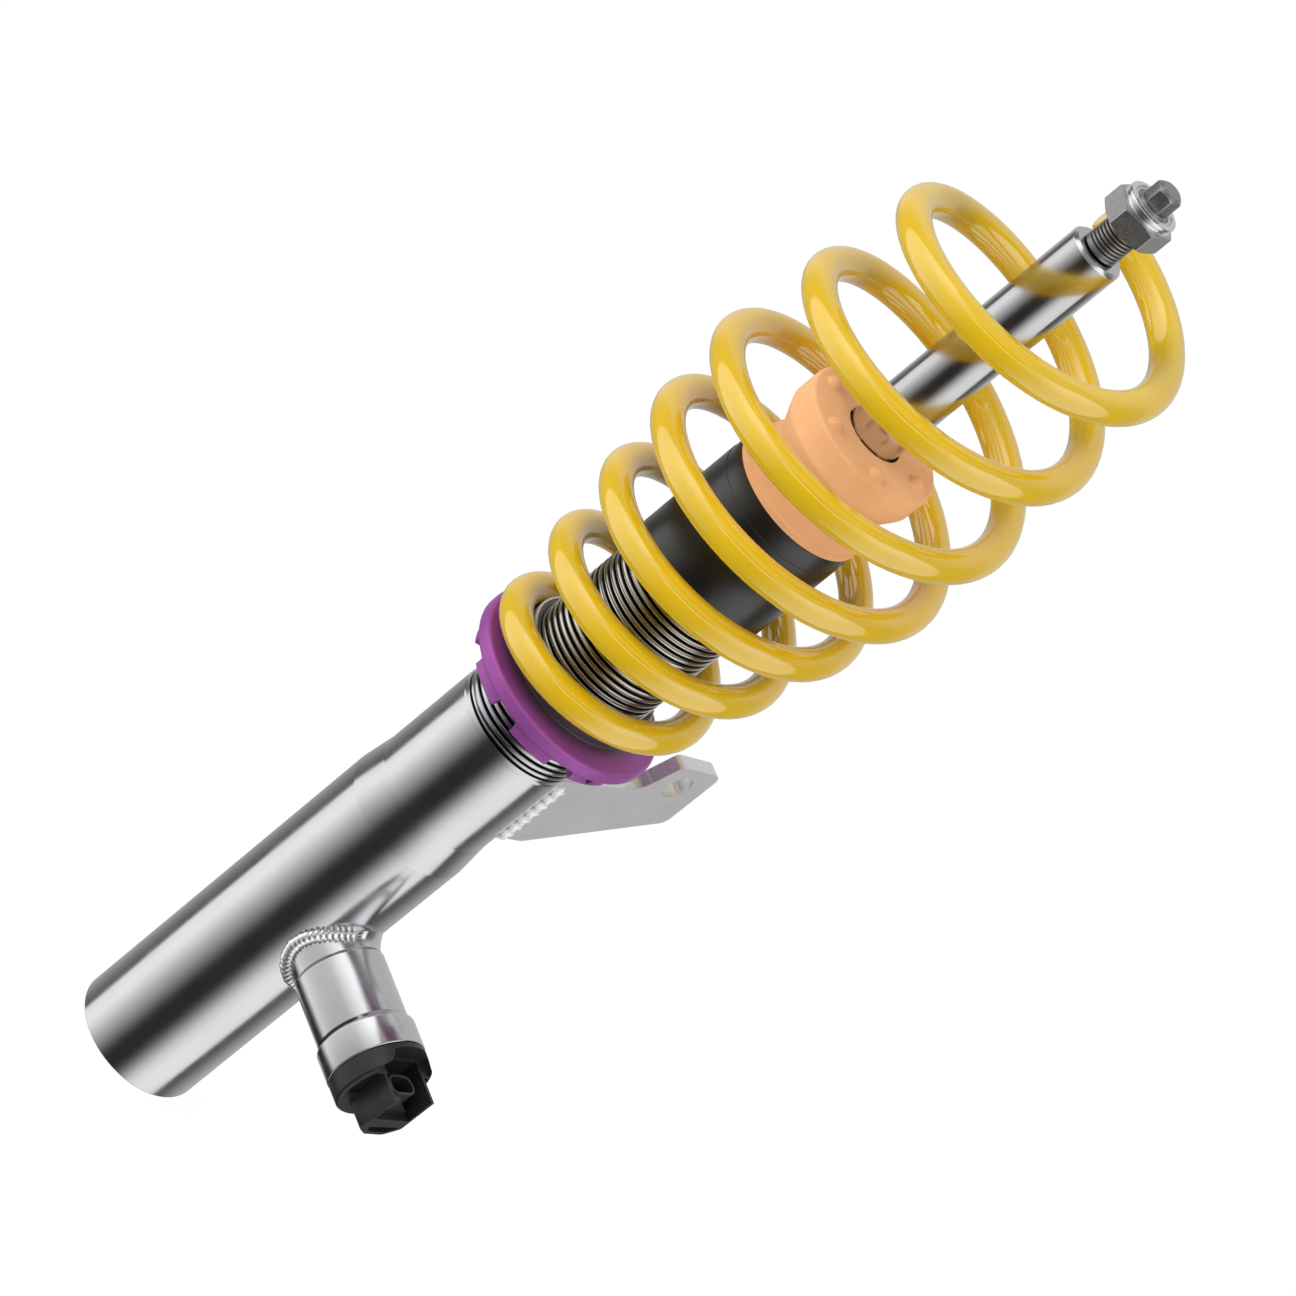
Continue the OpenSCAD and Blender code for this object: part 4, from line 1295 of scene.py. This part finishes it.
def make_bracket(sizes, looks):
    """The link plate with its eye, and the two weld beads that hold it."""
    face, thick = PLATE_HIGH.x, PLATE_HIGH.x - PLATE_LOW.x
    back, reach = face - thick, PLATE_HIGH.y
    edge = rounded(
        [
            (10.0, 178.0, 0),
            (28.0, 177.5, 2.0),
            (reach, 200.5, 4.5),
            (reach, 231.5, 4.5),
            (61.6, 233.7, 3.0),
            (53.8, 216.8, 8.0),
            (10.0, 214.8, 0),
        ],
        steps=8,
    )
    plate = prism("Link_bracket", [(back, p.x, p.y) for p in edge], (thick, 0, 0))
    eye_radius, eye_place = 6.25, (face, 70.7, 221.5)
    eye = round_cutter("Eye_cutter", eye_radius, 30, eye_place, 72, along_x=True)
    combine(plate, eye)
    tube = round_cutter("Tube_cutter", THREAD_RADIUS - 0.1, 200, (0, 0, 200), 144)
    combine(plate, tube)
    break_edges(plate, sizes.plate_edge / MM, degrees=40)
    done(
        plate,
        "strut",
        looks,
        "bracket_steel",
        "link_bracket",
        degrees=30,
        flat=True,
    )

    ripples, per_ripple = 15, 7
    rings = ripples * per_ripple + 1
    low, high = 179.0, 213.6

    def bead(name, side_x, way):
        """The bead where the plate's face at side_x meets the tube."""
        joint_y = math.sqrt(THREAD_RADIUS**2 - side_x**2)
        outward = Vector((way * 0.92, 0.4, 0)).normalized()
        side = Vector((0, 0, 1)).cross(outward)

        def place(ring, round_bead):
            share = ring / (rings - 1)
            weave = 0.55 if ring // per_ripple % 2 else -0.55
            here = Vector(
                (side_x + way * 0.5, joint_y + 1.0 + weave, low + (high - low) * share)
            )
            swell = 2.7 * (0.7 + 0.36 * scale_of(ring, per_ripple))
            taper = min(1.0, share * 16 + 0.4, (1 - share) * 16 + 0.4)
            spoke = outward * math.cos(round_bead) * 0.8 + side * math.sin(round_bead)
            lag = 0.9 * (1 - math.cos(round_bead))
            return here + spoke * swell * taper - Vector((0, 0, lag * taper))

        return rolled(name, rings, 16, place)

    beads = [bead("Bracket_weld_1", face, 1), bead("Bracket_weld_2", back, -1)]
    join(*beads)
    done(
        beads[0],
        "strut",
        looks,
        "weld_metal",
        "bracket_weld_beads",
        look="bracket_weld",
        degrees=28,
    )


def make_perch(sizes, looks):
    """The threaded perch with spanner notches, flange and hub, and its slide ring."""
    bore, hub, seat = 26.05, 27.6, 28.7
    collar, flange = 37.0, 41.0
    foot = PERCH_LOW.z
    perch = turned(
        "Spring_perch",
        [
            (bore, foot, 0.3),
            (collar, foot, 0.9),
            (collar, FLANGE_BOTTOM - 0.1, 0.8),
            (flange, FLANGE_BOTTOM, 1.6),
            (flange, FLANGE_TOP, 1.7),
            (seat, FLANGE_TOP, 0.5),
            (seat, HUB_TOP, 0.3),
            (hub, HUB_TOP, 0),
            (hub, PERCH_HIGH.z, 0.4),
            (bore, PERCH_HIGH.z, 0.3),
        ],
        steps=160,
    )
    half = sizes.notch / MM / 2
    mouth = rounded(
        [
            (-half, foot - 3, 0),
            (half, foot - 3, 0),
            (half, FLANGE_BOTTOM + 0.2, 4.2),
            (-half, FLANGE_BOTTOM + 0.2, 4.2),
        ]
    )
    notches = 8
    for number in range(notches):
        notch = prism("Notch_cutter", [(bore - 2, p.x, p.y) for p in mouth], (20, 0, 0))
        turn = math.radians(-25 + 360 / notches * number)
        notch.data.transform(Matrix.Rotation(turn, 4, "Z"))
        combine(perch, notch)
    place = (36, 0, foot + 3.25)
    hole = round_cutter("Screw_cutter", 2.05, 30, place, 32, along_x=True)
    bpy.ops.object.transform_apply(location=True, rotation=True, scale=True)
    # the grub screw's hole lies in the middle between two notches
    hole.data.transform(Matrix.Rotation(math.radians(-25 + 22.5), 4, "Z"))
    combine(perch, hole)
    break_edges(perch, 0.35, degrees=42)
    done(
        perch,
        "perch",
        looks,
        "perch_purple",
        "spring_perch",
        degrees=34,
        flat=True,
    )
    ring = turned(
        "Slide_ring",
        [
            (hub + 0.05, HUB_TOP + 0.1, 0.1),
            (seat + 0.05, HUB_TOP + 0.1, 0.1),
            (seat + 0.05, RING_HIGH.z, 0.45),
            (hub + 0.05, RING_HIGH.z, 0.3),
        ],
    )
    done(ring, "spring_seat", looks, "ring_plastic", "slide_ring")


# The wire's middle: turns counted from where the flat end stops, to height and radius
SEAT_TURNS, LOWER_TURNS, TURNS = 0.25, 4.0, 6.8
LOWER_PITCH, UPPER_PITCH, END_PITCH = 33.1, 42.0, 20.0
WIRE_FOOT, WIRE_FOOT_RADIUS = 251.85, 35.25
WAIST_H, WAIST_RADIUS, TOP_RADIUS = 378.25, 58.7, 48.3
WIRE_START = math.radians(-150)
WIRE_END = 6.776
END_FLARE, END_FLARE_FROM = 13.5, 6.5


def climbed(turns, bend, width):
    """How far turns has come past a bend that is spread over a width."""
    if turns <= bend - width:
        return 0.0
    if turns >= bend + width:
        return turns - bend
    return (turns - bend + width) ** 2 / (4 * width)


def wire_height(turns):
    return (
        WIRE_FOOT
        + LOWER_PITCH * climbed(turns, 0, 0.125)
        + (UPPER_PITCH - LOWER_PITCH) * climbed(turns, LOWER_TURNS, 0.25)
        - (UPPER_PITCH - END_PITCH) * climbed(turns, TURNS - 0.25, 0.25)
    )


def wire_middle(turns):
    height = wire_height(turns)
    out_slope = (WAIST_RADIUS - WIRE_FOOT_RADIUS) / (WAIST_H - WIRE_FOOT)
    in_slope = (WAIST_RADIUS - TOP_RADIUS) / (wire_height(TURNS) - WAIST_H)
    radius = (
        WIRE_FOOT_RADIUS
        + out_slope * (height - WIRE_FOOT)
        - (out_slope + in_slope) * climbed(height, WAIST_H, 12)
        + END_FLARE * climbed(turns, END_FLARE_FROM, 0.1)
    )
    angle = WIRE_START + turns * math.tau
    return Vector((radius * math.cos(angle), radius * math.sin(angle), height))


def make_spring(sizes, looks):
    """The barrel spring: one wire with cut, slightly rounded ends."""
    wire = sizes.wire / MM / 2
    rings = math.ceil((SEAT_TURNS + WIRE_END) * 72) + 1
    # two extra rings at each end round off the cut
    cut = 0.0022
    first, last = -SEAT_TURNS + cut * 2.2, WIRE_END - cut * 2.2
    stops = [(-SEAT_TURNS, wire - 0.7), (-SEAT_TURNS + cut, wire - 0.12)]
    stops += [(first + (last - first) * k / (rings - 1), wire) for k in range(rings)]
    stops += [(WIRE_END - cut, wire - 0.12), (WIRE_END, wire - 0.7)]

    def place(ring, round_wire):
        turns, radius = stops[ring]
        here = wire_middle(turns)
        ahead = (wire_middle(turns + 0.001) - wire_middle(turns - 0.001)).normalized()
        outward = Vector((here.x, here.y, 0)).normalized()
        outward = (outward - ahead * outward.dot(ahead)).normalized()
        side = ahead.cross(outward)
        spoke = outward * math.cos(round_wire) + side * math.sin(round_wire)
        return here + spoke * radius

    spring = rolled("Coil_spring", len(stops), 26, place)
    done(spring, "spring_seat", looks, "spring_paint", "coil_spring", degrees=40)
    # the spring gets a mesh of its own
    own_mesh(spring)


def make_foam(sizes, looks):
    """The foam buffer, with bumps on its top face and vents beside the rod."""
    bore, plug, neck, head = 11.1, 26.2, 23.3, 29.0
    neck_h = SLEEVE_TOP + 15.6
    head_h = SLEEVE_TOP + 26.3
    top = SLEEVE_TOP + FOAM_RISE
    foam = turned(
        "Bump_stop",
        [
            (bore, FOAM_LOW.z + 0.1, 0),
            (plug - 2.0, FOAM_LOW.z + 0.1, 0),
            (plug, FOAM_LOW.z + 2, 0),
            (plug, SLEEVE_TOP, 0),
            (28.0, SLEEVE_TOP + 0.1, 0.4),
            (28.0, SLEEVE_TOP + 2.4, 0.5),
            (27.3, SLEEVE_TOP + 3.0, 0.5),
            (24.8, neck_h - 5, 3.0),
            (neck, neck_h - 1, 2.0),
            (head - 0.4, head_h - 1.2, 1.2),
            (head, head_h, 0.5),
            (head, top, 1.5),
            (bore, top, 0.9),
        ],
        steps=144,
    )
    height, bump_ring = sizes.bump / MM, 22.2
    dome = [
        (0, -1, 0),
        (0, height, 0),
        (1.0, height * 0.94, 0),
        (1.9, height * 0.75, 0),
        (2.6, height * 0.44, 0),
        (3.0, height * 0.14, 0),
        (3.3, -0.02, 0),
        (3.3, -1, 0),
    ]
    for number in range(6):
        swelling = turned("Foam_bump", dome, steps=32)
        place = Vector((*polar(bump_ring, 30 + 60 * number), top)) * MM
        swelling.data.transform(Matrix.Translation(place))
        combine(foam, swelling, "UNION")
    vent_low, vent_inner, vent_outer = top - 26.0, 9.0, 11.9
    for number in range(5):
        angles = [-47 + 72 * number + 22 * k / 3 for k in range(-3, 4)]
        sector = [polar(vent_inner, a) for a in angles]
        sector += [polar(vent_outer, a) for a in reversed(angles)]
        vent = prism("Vent_cutter", [(*p, vent_low) for p in sector], (0, 0, 40))
        combine(foam, vent)
    break_edges(foam, 0.4, degrees=50)
    done(
        foam,
        "bump_stop_set",
        looks,
        "bump_foam",
        "bump_stop",
        degrees=35,
        flat=True,
    )


def make_sleeve(looks):
    """The dust sleeve, with the inner shelf that the foam stands on."""
    inner, outer = 26.3, SLEEVE_HIGH.x
    foot, shelf, shelf_bore = SLEEVE_LOW.z, 348.3, 17.0
    sleeve = turned(
        "Dust_sleeve",
        [
            (inner, foot, 0.3),
            (outer - 1.5, foot, 0.4),
            (outer, foot + 3.5, 0),
            (outer, SLEEVE_TOP - 8.0, 0),
            (outer - 0.25, SLEEVE_TOP - 7.8, 0),
            (outer - 0.25, SLEEVE_TOP, 0.4),
            (inner, SLEEVE_TOP, 0.3),
            (inner, shelf, 0.2),
            (shelf_bore, shelf, 0.3),
            (shelf_bore, shelf - 3.0, 0.3),
            (inner, shelf - 3.0, 0),
        ],
    )
    done(
        sleeve,
        "bump_stop_set",
        looks,
        "sleeve_plastic",
        "dust_sleeve",
        degrees=20,
    )


def make_rod(sizes, looks):
    """The chromed rod, and its dark stud with a cut thread and a hexagonal key."""
    radius, tail, stud = 11.0, 6.0, STUD_RADIUS
    tail_top = 287.7
    rod = turned(
        "Rod",
        [
            (0.0, ROD_LOW.z, 0),
            (tail - 1, ROD_LOW.z, 0),
            (tail, ROD_LOW.z + 1, 0),
            (tail, tail_top, 0),
            (radius, tail_top, 0.3),
            (radius, SHOULDER_H - 1.3, 0.5),
            (radius - 1.3, SHOULDER_H, 0.3),
            (stud - 0.9, SHOULDER_H, 0.2),
            (stud - 0.9, SHOULDER_H - 2, 0),
            (0.0, SHOULDER_H - 2, 0),
        ],
        steps=96,
    )
    done(rod, "rod_assembly", looks, "rod_chrome", "rod")
    low, high = SHOULDER_H + 1.0, STUD_TOP - 1.4
    crest = stud - 0.05
    core = turned(
        "Stud",
        [
            (crest, low - 0.3, 0),
            (stud - 1.0, low - 1.0, 0),
            (stud - 1.0, SHOULDER_H - 1.9, 0),
            (0.0, SHOULDER_H - 1.9, 0),
            (0.0, STUD_TOP, 0),
            (stud - 1.3, STUD_TOP, 0.2),
            (crest, high + 0.3, 0),
        ],
        steps=96,
        closed=False,
    )
    pitch = sizes.stud_pitch / MM
    helix = thread("Stud_thread", crest, 0.95, pitch, low, high, steps=64, points=6)
    join(core, helix)
    bridge_near(core, low, 0.35)
    bridge_near(core, high, 0.35)
    close_shell(core, tolerance=0.0005)
    flats = 10.0
    corner = flats / math.sqrt(3)
    key = hexagon("Key", flats, 30, STUD_TOP - 0.5, ROD_HIGH.z)
    bevel(key, 0.45, degrees=50, segments=3)
    cone = turned(
        "Key_envelope",
        [
            (0.0, STUD_TOP - 1.0, 0),
            (corner + 0.3, STUD_TOP - 1.0, 0),
            (corner + 0.3, ROD_HIGH.z - 1.9, 0),
            (3.9, ROD_HIGH.z, 0),
            (0.0, ROD_HIGH.z, 0),
        ],
        steps=96,
    )
    combine(key, cone, "INTERSECT")
    bevel(key, 0.15, degrees=30)
    join(core, key)
    done(core, "rod_assembly", looks, "rod_chrome", look="stud_steel", degrees=30)


def make_nut(looks):
    """The lock nut: chamfered hexagon and rolled collar round the nylon ring."""
    flats = 22.0
    low, hex_top, top = NUT_LOW.z, NUT_COLLAR_H, NUT_HIGH.z
    corner = flats / math.sqrt(3)
    nut = hexagon("Top_nut", flats, -22, low, hex_top)
    bevel(nut, 0.3, degrees=50, segments=3)
    cone = turned(
        "Nut_envelope",
        [
            (0.0, low - 0.01, 0),
            (flats / 2 - 0.4, low - 0.01, 0),
            (corner + 0.6, low + 1.35, 0),
            (corner + 0.6, hex_top - 1.45, 0),
            (flats / 2 - 0.5, hex_top + 0.01, 0),
            (0.0, hex_top + 0.01, 0),
        ],
    )
    combine(nut, cone, "INTERSECT")
    collar = turned(
        "Nut_collar",
        [
            (0.0, hex_top - 2.0, 0),
            (10.6, hex_top - 2.0, 0),
            (10.6, hex_top - 0.1, 0.3),
            (9.7, hex_top + 0.5, 0.5),
            (9.9, hex_top + 1.2, 0.5),
            (10.5, hex_top + 1.9, 0.5),
            (10.4, top, 0.7),
            (8.4, top, 0.3),
            (8.4, top - 0.4, 0),
            (0.0, top - 0.4, 0),
        ],
        steps=96,
    )
    combine(nut, collar, "UNION")
    stud, pocket = STUD_RADIUS + 0.06, 8.75
    bore = turned(
        "Nut_bore",
        [
            (0.0, low - 1, 0),
            (7.9, low - 1, 0),
            (stud, low + 0.9, 0),
            (stud, top - 2.75, 0),
            (pocket, top - 2.75, 0),
            (pocket, top - 0.5, 0),
            (8.3, top - 0.45, 0),
            (8.3, top + 1, 0),
            (0.0, top + 1, 0),
        ],
        steps=96,
    )
    combine(nut, bore)
    break_edges(nut, 0.12, degrees=40)
    done(nut, "nut", looks, "zinc_steel", "top_nut", degrees=28, flat=True)


def paint_frame(looks):
    """Finishes for the CAD nodes that stay as they are."""
    slots = {s["node"]: s["material_slot"] for s in frame["record"]["subparts"]}
    for name, node in frame["nodes"].items():
        paint(node, looks[slots[name]])


# ---------------------------------------------------------------- studio

VIEW_RIGHT = Vector((0.3569, 0.6455, 0.6752))
VIEW_UP = Vector((-0.8263, -0.1189, 0.5505))
VIEW_BACK = Vector((0.4356, -0.7545, 0.4909))
VIEW_PLACE = Vector((0.8592, -1.4725, 1.2380))
VIEW_LENS = 153.3
VIEW_AZIMUTH = math.radians(-60)

# Brightness of the room round the strut, by degrees left and right of the camera
WALLS = [
    (-180, 0.50), (-150, 0.36), (-130, 0.24), (-112, 0.12), (-107, 0.14), (-103, 1.02),
    (-85, 1.12), (-75, 1.08), (-65, 0.90), (-55, 0.70), (-45, 0.505), (-35, 0.34),
    (-25, 0.17), (-15, 0.05), (-7, 0.03), (10, 0.03), (16, 0.05), (25, 0.17),
    (35, 0.45), (45, 0.76), (55, 0.95), (65, 1.04), (85, 1.04), (96, 0.95),
    (99, 0.11), (106, 0.10), (116, 0.17), (127, 0.29), (140, 0.39), (155, 0.46),
    (180, 0.50),
]
# Greys of the room's other parts
BACK_WALL, CEILING, PIT, STRIP_LIGHT, SOFT_LIGHT = 0.62, 0.36, 0.03, 1.1, 0.62


def grey_ramp(tree, factor, stops):
    """A colour ramp of greys from (position, value) stops."""
    node = add(tree, "ShaderNodeValToRGB", {0: factor})
    ramp = node.color_ramp
    for _ in stops[2:]:
        ramp.elements.new(0.5)
    for element, (position, value) in zip(ramp.elements, stops):
        element.position = position
        element.color = (value, value, value, 1)
    return node.outputs[0]


def make_world():
    """Even soft light; shiny surfaces also see two wide soft boxes in a dark room."""
    world = bpy.data.worlds.new("Studio")
    bpy.context.scene.world = world
    world.use_nodes = True
    tree = world.node_tree
    tree.nodes.clear()

    def between(value, low, high):
        return remap(tree, value, low, high, soft=True)

    def both(first, second):
        return calc(tree, "MULTIPLY", first, second)

    sky = add(tree, "ShaderNodeTexCoord").outputs["Generated"]
    along = (math.cos(VIEW_AZIMUTH), math.sin(VIEW_AZIMUTH), 0)
    beside = (-math.sin(VIEW_AZIMUTH), math.cos(VIEW_AZIMUTH), 0)
    front = vector_calc(tree, "DOT_PRODUCT", sky, along)
    side = vector_calc(tree, "DOT_PRODUCT", sky, beside)
    rise = coordinate(tree, sky)
    angle = calc(tree, "ARCTAN2", side, front)
    share = calc(tree, "MULTIPLY_ADD", angle, 1 / math.tau, 0.5)
    walls = grey_ramp(
        tree, share, [(degrees / 360 + 0.5, value) for degrees, value in WALLS]
    )
    # the soft boxes are brightest near their upper edge
    strong = remap(tree, rise, 0.25, 0.72, 1.0, 1.45, soft=True)
    walls = vector_calc(tree, "SCALE", walls, scale=strong)
    off = calc(tree, "ABSOLUTE", angle)
    narrow, wide = math.radians(26), math.radians(40)
    upper = both(between(rise, 0.56, 0.64), between(off, narrow, wide))
    room = mix(tree, upper, walls, CEILING, blend_type="LIGHTEN")
    # the wall behind the strut is lighter down to the horizon
    far = between(calc(tree, "MULTIPLY", front, -1.0), 0.55, 0.8)
    room = mix(tree, both(far, between(rise, -0.5, -0.38)), room, BACK_WALL)
    # a narrow strip light above the camera
    strip = both(between(rise, 0.60, 0.62), between(rise, 0.71, 0.69))
    room = mix(tree, both(strip, between(off, wide, narrow)), room, STRIP_LIGHT)
    room = mix(tree, between(rise, 0.84, 0.88), room, CEILING)
    room = mix(tree, between(rise, -0.8, -0.92), room, PIT)
    rays = add(tree, "ShaderNodeLightPath").outputs
    light = mix(tree, rays["Is Glossy Ray"], SOFT_LIGHT, room)
    through = calc(tree, "MAXIMUM", rays["Is Camera Ray"], rays["Is Transmission Ray"])
    glow = add(tree, "ShaderNodeBackground", {"Color": mix(tree, through, light, 1.0)})
    add(tree, "ShaderNodeOutputWorld", {"Surface": glow.outputs[0]})


def make_floor():
    """A white floor that keeps a faint shadow; metal sees the room instead of it."""
    deselect()
    gap = 0.0006
    bpy.ops.mesh.primitive_plane_add(size=8, location=(0, 0, -gap))
    floor = name_new("Floor")
    bpy.ops.object.transform_apply(location=True, rotation=True, scale=True)
    material = bpy.data.materials.new("White floor")
    material.use_nodes = True
    tree = material.node_tree
    shader = tree.nodes["Principled BSDF"]
    shader.inputs["Base Color"].default_value = (0.9, 0.9, 0.9, 1)
    shader.inputs["Roughness"].default_value = 1.0
    shader.inputs["Specular IOR Level"].default_value = 0.0
    glow = add(tree, "ShaderNodeEmission", {"Strength": 1.03})
    seen = add(tree, "ShaderNodeLightPath").outputs["Is Camera Ray"]
    share = calc(tree, "MULTIPLY", seen, 0.93)
    surface = add(
        tree,
        "ShaderNodeMixShader",
        {0: share, 1: shader.outputs[0], 2: glow.outputs[0]},
    )
    tree.links.new(
        surface.outputs[0], tree.nodes["Material Output"].inputs["Surface"]
    )
    paint(floor, material)
    floor.visible_glossy = False


def make_lamp(name, direction, distance, size, watts):
    """A square soft box that looks at the strut's middle."""
    data = bpy.data.lights.new(name, "AREA")
    data.shape = "RECTANGLE"
    data.size, data.size_y = size
    data.energy = watts
    lamp = bpy.data.objects.new(name, data)
    bpy.context.scene.collection.objects.link(lamp)
    lamp.visible_glossy = False
    lamp.location = Vector((0, 0, 0.3)) + direction.normalized() * distance
    lamp.rotation_euler = direction.to_track_quat("Z", "Y").to_euler()


def make_camera():
    data = bpy.data.cameras.new("Camera")
    data.lens = VIEW_LENS
    data.sensor_width = 36.0
    data.clip_end = 100.0
    camera = bpy.data.objects.new("Camera", data)
    bpy.context.scene.collection.objects.link(camera)
    turn = Matrix((VIEW_RIGHT, VIEW_UP, VIEW_BACK)).transposed().to_4x4()
    camera.matrix_world = Matrix.Translation(VIEW_PLACE) @ turn
    bpy.context.scene.camera = camera


def make_stage():
    """World, floor, lamps, camera and colour management."""
    make_world()
    make_floor()
    key = VIEW_BACK * 0.5 + VIEW_UP * 1.0 - VIEW_RIGHT * 0.35
    fill = VIEW_BACK * 0.8 + VIEW_RIGHT * 0.9 - VIEW_UP * 0.25
    make_lamp("Key_softbox", key, 1.6, (0.9, 0.9), 14)
    make_lamp("Fill_softbox", fill, 1.8, (0.7, 1.1), 9)
    make_camera()
    bpy.context.scene.view_settings.view_transform = "Standard"


# ---------------------------------------------------------------- the add-on


def looks_of(context):
    """The finishes in the scene's colours."""
    return finishes(context.scene.strut_colours)


class STRUT_OT_stage(bpy.types.Operator):
    """Build the floor, the room, the soft boxes and the camera"""

    bl_idname = "strut.stage"
    bl_label = "Stage"
    bl_options = {"REGISTER", "UNDO"}

    def execute(self, context):
        make_stage()
        return {"FINISHED"}


class STRUT_OT_frame_finishes(bpy.types.Operator):
    """Give the CAD nodes their finishes"""

    bl_idname = "strut.frame_finishes"
    bl_label = "Frame finishes"
    bl_options = {"REGISTER", "UNDO"}

    def execute(self, context):
        paint_frame(looks_of(context))
        return {"FINISHED"}


class STRUT_OT_tube(bpy.types.Operator):
    """Build the strut tube with its thread"""

    bl_idname = "strut.tube"
    bl_label = "Tube"
    bl_options = {"REGISTER", "UNDO"}

    def execute(self, context):
        make_tube(context.scene.strut_sizes, looks_of(context))
        return {"FINISHED"}


class STRUT_OT_valve(bpy.types.Operator):
    """Build the valve's boss, weld, housing and collar"""

    bl_idname = "strut.valve"
    bl_label = "Side valve"
    bl_options = {"REGISTER", "UNDO"}

    def execute(self, context):
        make_boss(context.scene.strut_sizes, looks_of(context))
        make_valve(looks_of(context))
        return {"FINISHED"}


class STRUT_OT_connector(bpy.types.Operator):
    """Build the valve's connector"""

    bl_idname = "strut.connector"
    bl_label = "Connector"
    bl_options = {"REGISTER", "UNDO"}

    def execute(self, context):
        make_connector(looks_of(context))
        return {"FINISHED"}


class STRUT_OT_bracket(bpy.types.Operator):
    """Build the link bracket and its welds"""

    bl_idname = "strut.bracket"
    bl_label = "Link bracket"
    bl_options = {"REGISTER", "UNDO"}

    def execute(self, context):
        make_bracket(context.scene.strut_sizes, looks_of(context))
        return {"FINISHED"}


class STRUT_OT_perch(bpy.types.Operator):
    """Build the spring perch and its slide ring"""

    bl_idname = "strut.perch"
    bl_label = "Perch"
    bl_options = {"REGISTER", "UNDO"}

    def execute(self, context):
        make_perch(context.scene.strut_sizes, looks_of(context))
        return {"FINISHED"}


class STRUT_OT_spring(bpy.types.Operator):
    """Build the coil spring"""

    bl_idname = "strut.spring"
    bl_label = "Spring"
    bl_options = {"REGISTER", "UNDO"}

    def execute(self, context):
        make_spring(context.scene.strut_sizes, looks_of(context))
        return {"FINISHED"}


class STRUT_OT_bump_stop(bpy.types.Operator):
    """Build the foam bump stop and the dust sleeve"""

    bl_idname = "strut.bump_stop"
    bl_label = "Bump stop"
    bl_options = {"REGISTER", "UNDO"}

    def execute(self, context):
        make_foam(context.scene.strut_sizes, looks_of(context))
        make_sleeve(looks_of(context))
        return {"FINISHED"}


class STRUT_OT_rod(bpy.types.Operator):
    """Build the rod, its stud and its key"""

    bl_idname = "strut.rod"
    bl_label = "Rod"
    bl_options = {"REGISTER", "UNDO"}

    def execute(self, context):
        make_rod(context.scene.strut_sizes, looks_of(context))
        return {"FINISHED"}


class STRUT_OT_nut(bpy.types.Operator):
    """Build the lock nut"""

    bl_idname = "strut.nut"
    bl_label = "Lock nut"
    bl_options = {"REGISTER", "UNDO"}

    def execute(self, context):
        make_nut(looks_of(context))
        return {"FINISHED"}


OPERATORS = [
    STRUT_OT_stage,
    STRUT_OT_frame_finishes,
    STRUT_OT_tube,
    STRUT_OT_valve,
    STRUT_OT_connector,
    STRUT_OT_bracket,
    STRUT_OT_perch,
    STRUT_OT_spring,
    STRUT_OT_bump_stop,
    STRUT_OT_rod,
    STRUT_OT_nut,
]


class STRUT_PT_panel(bpy.types.Panel):
    """Lists the strut's sizes, colours and pieces"""

    bl_idname = "STRUT_PT_panel"
    bl_label = "Strut"
    bl_space_type = "VIEW_3D"
    bl_region_type = "UI"
    bl_category = "Strut"

    def draw(self, context):
        for group in (context.scene.strut_sizes, context.scene.strut_colours):
            rows = self.layout.box()
            for name in group.__annotations__:
                rows.prop(group, name)
        for operator in OPERATORS:
            self.layout.operator(operator.bl_idname)


CLASSES = [StrutSizes, StrutColours, *OPERATORS, STRUT_PT_panel]


def register():
    for each in CLASSES:
        bpy.utils.register_class(each)
    bpy.types.Scene.strut_sizes = bpy.props.PointerProperty(type=StrutSizes)
    bpy.types.Scene.strut_colours = bpy.props.PointerProperty(type=StrutColours)


def unregister():
    del bpy.types.Scene.strut_colours
    del bpy.types.Scene.strut_sizes
    for each in reversed(CLASSES):
        bpy.utils.unregister_class(each)


def main():
    register()
    for operator in OPERATORS:
        kind, name = operator.bl_idname.split(".")
        getattr(getattr(bpy.ops, kind), name)()


if __name__ == "__main__":
    main()
